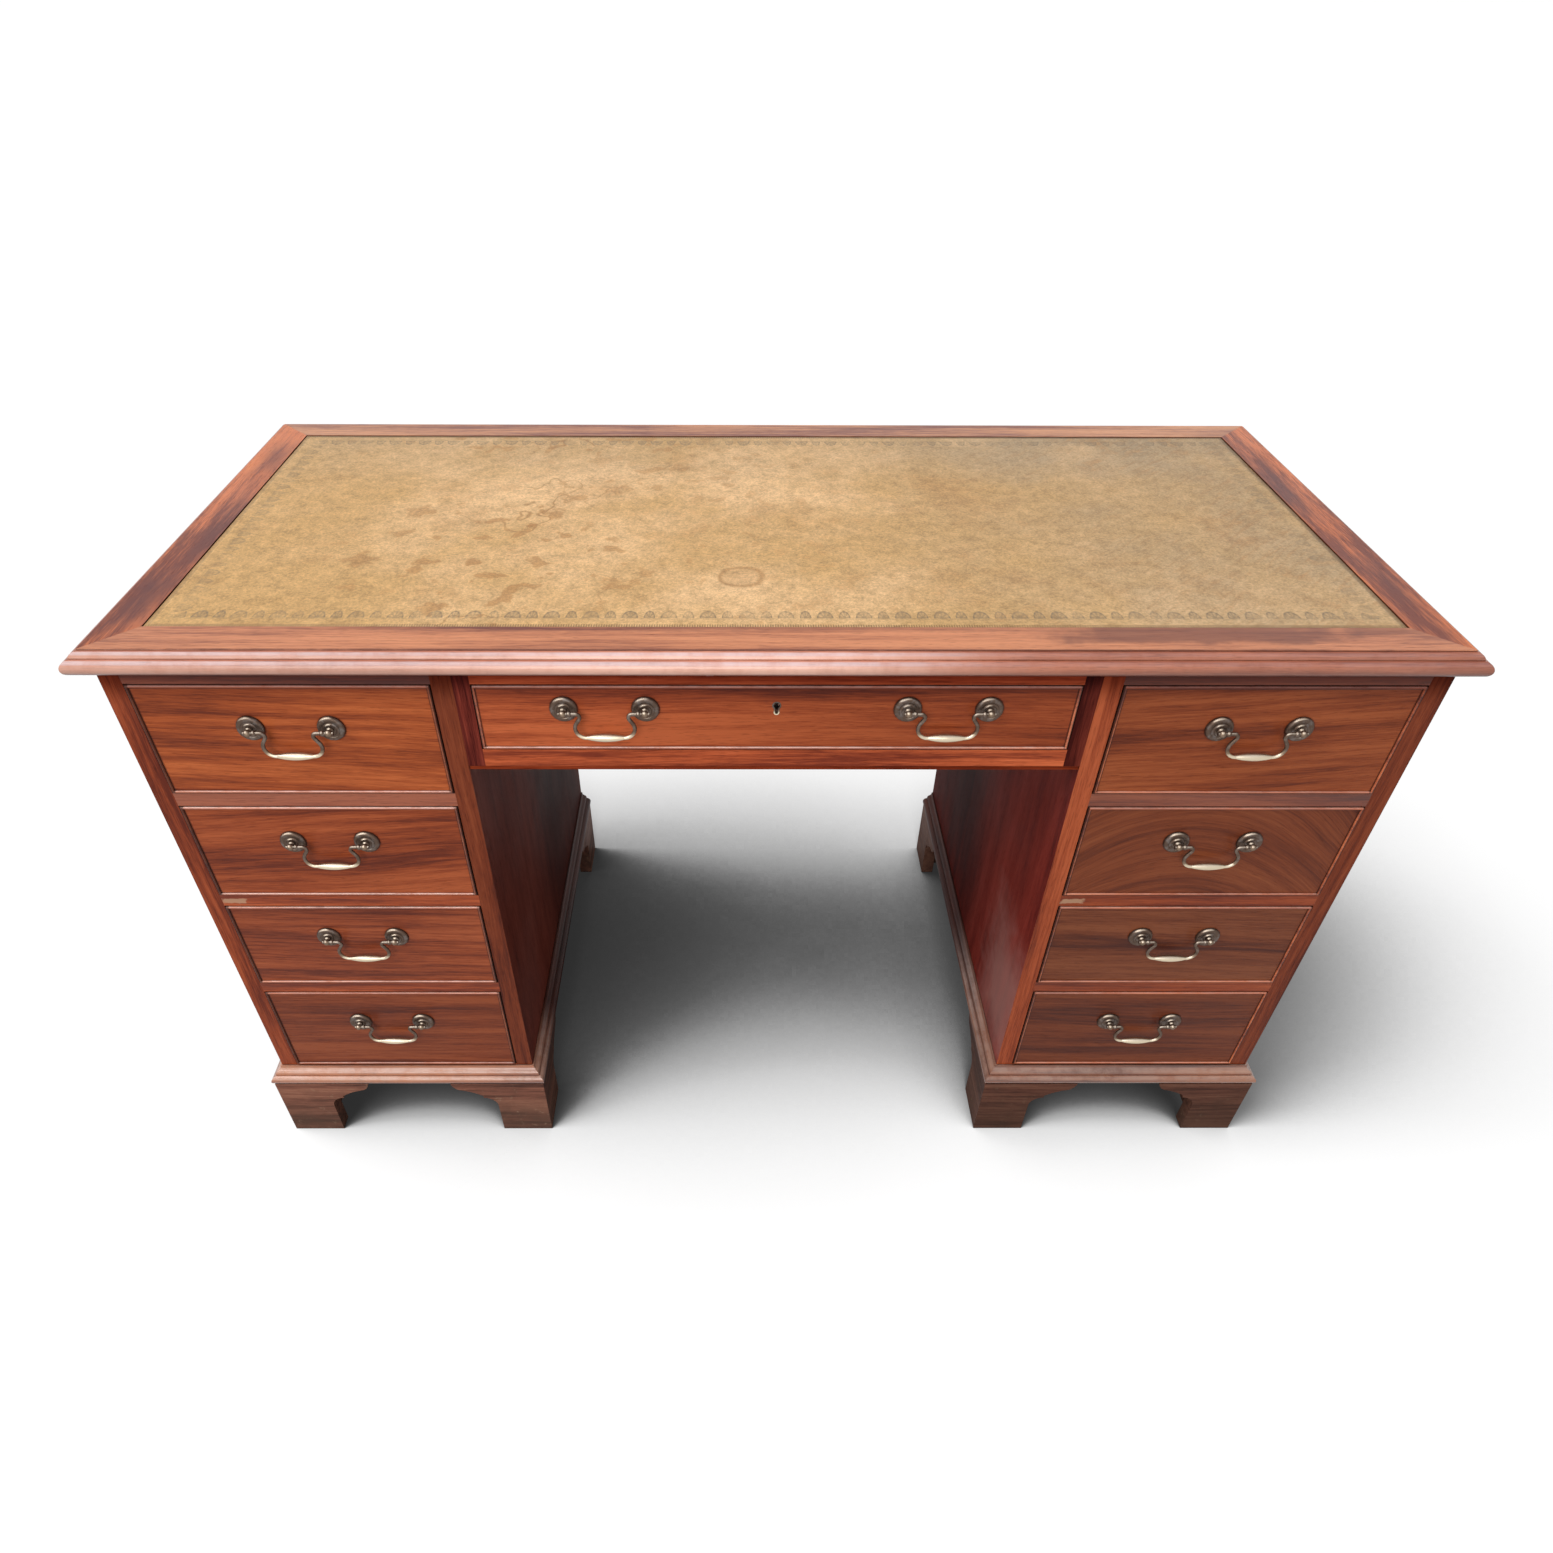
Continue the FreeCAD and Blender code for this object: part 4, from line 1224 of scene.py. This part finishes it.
    def _stile_zone(self, sheet: NodeSheet) -> Value:
        """One on the front edge of a side, which shows as a stile."""
        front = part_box(f"{self.name}_outer_side")[0].y
        return sheet.split(sheet.place())[1] < front + self.stile_edge


@dataclass
class CentreSection:
    """Cheeks, rails and dust board between the pedestals, and the pedestals' backs."""

    bay_half: float = 301.2 * MM
    cheek_edge: float = 0.05 * MM
    painted_shadow_reach: float = 24.0 * MM

    def dress(self) -> None:
        """Give the section its woods."""
        left, right = (
            Wood(**scaled(RED_TONES, share, share, share), grain=Grain.Z, seed=12.0) for share in (0.92, 0.63)
        )
        cheeks = Zoned(left, right, lambda sheet: sheet.split(sheet.place())[0] > 0.0)
        rails = mahogany(Grain.X, 11.0, **toned(1.28, 1.14, 1.2), coat=0.1)
        # Painted shadow of the top over the rails and cheeks.
        wood = PaintedOverhangShadow(Zoned(rails, cheeks, self._cheek_zone), under_top(), self.painted_shadow_reach, 1.0)
        dress_nodes("centre_frame_mahogany", wood, DULL_POLISH, "centre_frame")
        board = mahogany(Grain.X, 13.0, **toned(0.60, 0.40, 0.40))
        dress_nodes("dust_board_mahogany", board, DULL_POLISH, "centre_dust_board")
        backs = Wood(**RED_TONES, grain=Grain.Z, seed=14.0)
        dress_nodes("back_mahogany", backs, DULL_POLISH, "pedestal_backs")

    def _cheek_zone(self, sheet: NodeSheet) -> Value:
        """One on the two cheeks."""
        x, _, _ = sheet.split(sheet.place())
        return abs(x) > self.bay_half - self.cheek_edge


@dataclass
class Drawer:
    """One drawer: its beaded front, its box and its handles."""

    name: str
    front: Wood
    bails: Tuple[str, ...]
    fade: Optional[Wood] = None
    shine: float = 0.85
    bead: float = 3.1 * MM
    back_thickness: float = 10.05 * MM
    grip_zone: Tuple[float, float] = (15.0 * MM, 5.0 * MM)
    post_zone: Tuple[float, float] = (12.0 * MM, 2.0 * MM)

    def dress(self) -> None:
        """Give the front, the box and the handles their finishes."""
        self._dress_front()
        _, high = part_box(f"{self.name}_box")
        box = Zoned(
            lining(Grain.Y, self.front.seed),
            lining(Grain.X, self.front.seed + 3.0),
            lambda sheet: sheet.split(sheet.place())[1] > high.y - self.back_thickness,
        )
        dress_nodes(f"{self.name}_lining", box, BARE, f"{self.name}_box")
        self._dress_posts()
        for bail in self.bails:
            self._dress_bail(bail)

    def _dress_front(self) -> None:
        """Give the front its veneer, its beads, painted highlights on their upward faces, the painted shadow
        of the top and painted shade beside the beads.
        """
        low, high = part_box(f"{self.name}_front")
        veneer: Finish = self.front
        if self.fade:
            to_right = (low.x, high.x * 0.7)
            veneer = Zoned(veneer, self.fade, lambda sheet: sheet.split(sheet.place())[0].step(*to_right))
        beads = mahogany(Grain.X, self.front.seed + 1.0, coat=self.shine)
        # Painted highlight on the upward faces of the beads and front.
        rubbed = PaintedFacingLight(Zoned(veneer, beads, self._bead_zone), (0.86, 0.54, 0.45), self.shine)
        # Painted shade along the side beads of the left pedestal's drawers.
        side_painted_shade = (0.85, 0.55) if self.name.startswith("left") else (0.0, 0.0)
        front = Outlined(PaintedOverhangShadow(rubbed, under_top()), low, high, self.bead, *side_painted_shade)
        dress_nodes(f"{self.name}_front_mahogany", front, WORN_POLISH, f"{self.name}_front")

    def _dress_posts(self) -> None:
        """Give the roses and posts brown brass, pale where they face the light."""
        low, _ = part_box(f"{self.name}_posts")
        start, end = (low.y + reach for reach in self.post_zone)
        posts = AgedBrass(lambda sheet, place: sheet.split(place)[1].step(start, end) * 0.32)
        glint = PaintedFacingLight(posts, (0.70, 0.60, 0.48), 0.75, (-0.22, -0.55, 0.80), 0.86, 0.985, 0.35)
        dress_nodes(f"{self.name}_post_brass", glint, METAL, f"{self.name}_posts")

    def _dress_bail(self, bail: str) -> None:
        """Give a bail brown brass, rubbed bright along its grip.

        Args:
            bail: Name of the bail's node.
        """
        low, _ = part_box(bail)
        start, end = (low.z + reach for reach in self.grip_zone)
        brass = AgedBrass(lambda sheet, place: sheet.split(place)[2].step(start, end) * 0.88 + 0.12)
        # Painted glint where the bail faces the light.
        glint = PaintedFacingLight(brass, (0.66, 0.58, 0.48), 0.6, (-0.25, -0.50, 0.83), 0.80, 0.98, 0.3)
        dress_nodes(f"{bail}_brass", glint, METAL, bail)

    def _bead_zone(self, sheet: NodeSheet) -> Value:
        """Find the cock beads round the front.

        Args:
            sheet: Node sheet to write on.

        Returns:
            One on the beads.
        """
        low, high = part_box(f"{self.name}_front")
        x, _, z = sheet.split(sheet.place())
        in_x = abs(x - (low.x + high.x) / 2) > (high.x - low.x) / 2 - self.bead
        in_z = abs(z - (low.z + high.z) / 2) > (high.z - low.z) / 2 - self.bead
        return in_x.most(in_z)


@dataclass
class Lock:
    """Lock of the centre drawer and the escutcheon round its keyhole."""

    bright_below: Tuple[float, float] = (0.706, 0.700)

    def dress(self) -> None:
        """Give the lock its metals."""
        dress_nodes("lock_iron", DullIron(), METAL, "lock_case", "lock_bolt")
        brass = AgedBrass(lambda sheet, place: sheet.split(place)[2].step(*self.bright_below))
        dress_nodes("escutcheon_brass", brass, METAL, "keyhole_escutcheon")


@dataclass
class Studio:
    """Floor, light and camera."""

    image: float = 1553.0
    focal: float = 1028.59
    principal: Tuple[float, float] = (737.12, 879.81)
    eye: Tuple[float, float, float] = (-0.04332, -0.872865, 1.26999)
    pitch: float = 42.34
    yaw: float = 0.30
    roll: float = 0.22
    floor_half: float = 40.0
    floor_bounce: Colour = (0.18, 0.18, 0.18)
    floor_matt: float = 0.20
    floor_lift: float = 0.86
    under_tilt: Tuple[float, float, float] = (-0.30, -0.30, 0.85)
    under_reach: float = 0.8
    under_shades: Tuple[Tuple[float, float], ...] = (
        (0.31, 0.030), (0.39, 0.060), (0.45, 0.105), (0.49, 0.22), (0.535, 0.40),
        (0.58, 0.48), (0.61, 0.62), (0.66, 0.72), (0.75, 0.91), (0.83, 1.0),
    )
    beside_tilt: Tuple[float, float, float] = (-0.80, -0.50, 0.85)
    beside_reach: float = 1.0
    beside_shades: Tuple[Tuple[float, float], ...] = (
        (0.56, 0.17), (0.63, 0.284), (0.695, 0.456), (0.745, 0.65),
        (0.785, 0.80), (0.825, 0.90), (0.865, 0.96), (0.91, 1.0),
    )
    beside_from: Tuple[float, float] = (0.60, 0.70)
    behind_from: Tuple[float, float] = (-0.42, -0.28)
    sky_low: float = 0.16
    sky_high: float = 0.42
    sun_from: Tuple[float, float, float] = (-0.58, -0.14, 0.80)
    sun_strength: float = 1.62
    sun_angle: float = 48.0
    panel_at: Tuple[float, float, float] = (-0.75, -2.9, 2.0)
    panel_aim: Tuple[float, float, float] = (-0.05, -0.33, 0.75)
    panel_size: Tuple[float, float] = (2.2, 1.6)
    panel_power: float = 46.0

    def build(self) -> None:
        """Make the studio."""
        self._floor()
        self._sky()
        self._lamps()
        self._camera()

    @staticmethod
    def _seen_ray(sheet: NodeSheet) -> Value:
        """Tell the rays that show the backdrop itself: from the camera, a gloss or a glass.

        Args:
            sheet: Node sheet to write on.

        Returns:
            One for such rays.
        """
        camera = sheet.node("ShaderNodeLightPath", output="Is Camera Ray")
        outputs = camera.socket.node.outputs
        glossy = Value(sheet, outputs["Is Glossy Ray"])
        clear = Value(sheet, outputs["Is Transmission Ray"])
        return camera.most(glossy).most(clear)

    def _floor(self) -> None:
        """Pale floor that glows for the camera, with the desk's shadow painted into its glow by how much sky
        the desk hides, over the real shadow of its matt part.
        """
        mesh = bmesh.new()
        bmesh.ops.create_grid(mesh, x_segments=1, y_segments=1, size=self.floor_half)
        data = bpy.data.meshes.new("floor")
        mesh.to_mesh(data)
        mesh.free()
        floor = bpy.data.objects.new("floor", data)
        bpy.context.scene.collection.objects.link(floor)
        material = bpy.data.materials.new("pale_floor")
        sheet = NodeSheet(material)
        dim = sheet.node("ShaderNodeBsdfDiffuse", sockets={"Color": self.floor_bounce})
        under = self._shade(sheet, self.under_tilt, self.under_reach, self.under_shades)
        beside = self._shade(sheet, self.beside_tilt, self.beside_reach, self.beside_shades)
        x, y, _ = sheet.split(sheet.place())
        seen = sheet.mix(x.step(*self.beside_from) * y.step(*self.behind_from), under, beside)
        matt = sheet.mix(1.0, seen, (self.floor_matt,) * 3, "MULTIPLY")
        pale = sheet.node("ShaderNodeBsdfDiffuse", sockets={"Color": matt})
        glow = sheet.node("ShaderNodeEmission", sockets={"Color": seen, "Strength": self.floor_lift})
        lifted = sheet.node("ShaderNodeAddShader", sockets={0: pale, 1: glow})
        mixed = sheet.node("ShaderNodeMixShader", sockets={0: self._seen_ray(sheet), 1: dim, 2: lifted})
        sheet.node(sheet.output, sockets={"Surface": mixed})
        data.materials.append(material)

    @staticmethod
    def _shade(
        sheet: NodeSheet,
        tilt: Tuple[float, float, float],
        reach: float,
        shades: Sequence[Tuple[float, float]],
    ) -> Value:
        """Grey of the floor, by how much of the sky the desk hides from it.

        Args:
            sheet: Node sheet to write on.
            tilt: Way to the middle of the sky.
            reach: How far off the desk still shades the floor.
            shades: Grey by share of open sky.

        Returns:
            The grey.
        """
        sockets = {"Distance": reach, "Normal": sheet.join(*Vector(tilt).normalized())}
        open_sky = sheet.node("ShaderNodeAmbientOcclusion", {"samples": 64}, sockets, "AO")
        return sheet.ramp(open_sky, [(share, (grey, grey, grey)) for share, grey in shades])

    def _sky(self) -> None:
        """Soft light from all sides, stronger from above, behind a white backdrop."""
        world = bpy.data.worlds.new("studio")
        bpy.context.scene.world = world
        sheet = NodeSheet(world)
        _, _, up = sheet.split(sheet.node("ShaderNodeTexCoord", output="Generated"))
        level = up.step(-0.1, 1.0) * (self.sky_high - self.sky_low) + self.sky_low
        dome = sheet.node("ShaderNodeBackground", sockets={"Color": (1.0, 1.0, 1.0), "Strength": level})
        white = sheet.node("ShaderNodeBackground", sockets={"Color": (1.0, 1.0, 1.0), "Strength": 1.0})
        mixed = sheet.node("ShaderNodeMixShader", sockets={0: self._seen_ray(sheet), 1: dome, 2: white})
        sheet.node(sheet.output, sockets={"Surface": mixed})

    def _lamps(self) -> None:
        """Wide soft lamp from the left and a panel in front over the camera."""
        lamp = bpy.data.lights.new("window", "SUN")
        lamp.energy = self.sun_strength
        lamp.angle = math.radians(self.sun_angle)
        holder = bpy.data.objects.new("window", lamp)
        holder.rotation_euler = Vector(self.sun_from).to_track_quat("Z", "Y").to_euler()
        bpy.context.scene.collection.objects.link(holder)
        panel = bpy.data.lights.new("panel", "AREA")
        panel.shape = "RECTANGLE"
        panel.size, panel.size_y = self.panel_size
        panel.energy = self.panel_power
        stand = bpy.data.objects.new("panel", panel)
        away = Vector(self.panel_at) - Vector(self.panel_aim)
        turn = away.to_track_quat("Z", "Y").to_matrix().to_4x4()
        stand.matrix_world = Matrix.Translation(Vector(self.panel_at)) @ turn
        bpy.context.scene.collection.objects.link(stand)

    def _camera(self) -> None:
        """Camera at the place and angle of the photograph."""
        data = bpy.data.cameras.new("camera")
        data.sensor_width = 36.0
        data.lens = self.focal * data.sensor_width / self.image
        data.shift_x = (self.image / 2 - self.principal[0]) / self.image
        data.shift_y = (self.principal[1] - self.image / 2) / self.image
        data.clip_end = 200.0
        camera = bpy.data.objects.new("camera", data)
        turn = (
            Matrix.Rotation(math.radians(-self.yaw), 4, "Z")
            @ Matrix.Rotation(math.radians(90.0 - self.pitch), 4, "X")
            @ Matrix.Rotation(math.radians(self.roll), 4, "Z")
        )
        face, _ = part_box("left_outer_side")
        camera.matrix_world = Matrix.Translation(Vector(self.eye) + Vector((0.0, face.y, 0.0))) @ turn
        bpy.context.scene.collection.objects.link(camera)
        bpy.context.scene.camera = camera


def drawers() -> List[Drawer]:
    """Choose the veneers of the nine drawers' fronts.

    Returns:
        The drawers.
    """
    arched = {"figure": Figure.ARCHED, "arch_at": 0.47, "arch_curve": 3.2, "wander": 0.035}
    # Front tones darken downwards and on the right pedestal: painted shade, partly the right pedestal's
    # browner wood.
    fronts: Dict[str, Wood] = {
        "left_drawer_1": mahogany(Grain.X, 0.0, lean=0.05, **toned(0.91, 0.86, 0.72)),
        "left_drawer_2": mahogany(Grain.X, 3.3, lean=-0.06, wander=0.03, **toned(0.73, 0.65, 0.62)),
        "left_drawer_3": mahogany(Grain.X, 6.1, lean=0.03, **toned(0.70, 0.66, 0.71)),
        "left_drawer_4": mahogany(Grain.X, 8.7, **toned(0.51, 0.46, 0.46)),
        "right_drawer_1": mahogany(Grain.X, 10.9, lean=-0.08, **toned(0.63, 0.61, 0.58)),
        "right_drawer_2": mahogany(Grain.X, 13.4, contrast=0.85, **arched, **toned(0.47, 0.48, 0.50)),
        "right_drawer_3": mahogany(Grain.X, 16.2, lean=0.04, **toned(0.40, 0.44, 0.50)),
        "right_drawer_4": mahogany(Grain.X, 18.8, lean=0.02, **toned(0.36, 0.34, 0.34)),
    }
    # Shine sets the beads' polish and the strength of their painted highlight, weaker lower down and on the
    # right.
    shines = {"left_drawer_1": 0.75, "left_drawer_2": 0.9, "left_drawer_3": 0.75, "left_drawer_4": 0.5}
    made = [
        Drawer(name, wood, (f"{name}_bail",), shine=shines.get(name, 0.42))
        for name, wood in fronts.items()
    ]
    centre = mahogany(Grain.X, 21.5, **toned(0.95, 0.83, 0.80))
    # The centre front darkens towards the right: painted shade, as on the right pedestal.
    fade = mahogany(Grain.X, 21.5, **toned(0.66, 0.56, 0.51))
    bails = ("centre_drawer_left_bail", "centre_drawer_right_bail")
    made.append(Drawer("centre_drawer", centre, bails, fade))
    return made


def main() -> None:
    """Build and dress the desk and set up the studio."""
    logging.basicConfig(level=logging.INFO, format="%(message)s")
    bpy.context.scene.view_settings.view_transform = "Standard"
    top = DeskTop()
    top.build()
    top.dress()
    # The right pedestal's lower shares and the left pedestal's dark inner flank are painted shade on faces
    # away from the light, partly the right pedestal's browner wood.
    left = Pedestal(
        name="left",
        seed=30.0,
        shade=0.95,
        stiles={"outer": 0.95, "inner": 0.56},
        rail=toned(0.62, 0.62, 0.75),
        painted_floor_reflection=0.1,
        foot_shade=0.97,
        flank=toned(0.44, 0.40, 0.72),
        painted_shade_from=(0.03, 0.14),
    )
    right = Pedestal(
        name="right",
        seed=40.0,
        shade=0.72,
        stiles={"outer": 0.64, "inner": 1.08},
        rail=toned(0.48, 0.45, 0.50),
        painted_floor_reflection=0.6,
        foot_shade=0.54,
        flank=toned(0.60, 0.34, 0.68),
        painted_shade_from=(0.12, 0.32),
    )
    for pedestal in (left, right):
        pedestal.dress()
    CentreSection().dress()
    for drawer in drawers():
        drawer.dress()
    Lock().dress()
    Studio().build()


if __name__ == "__main__":
    main()
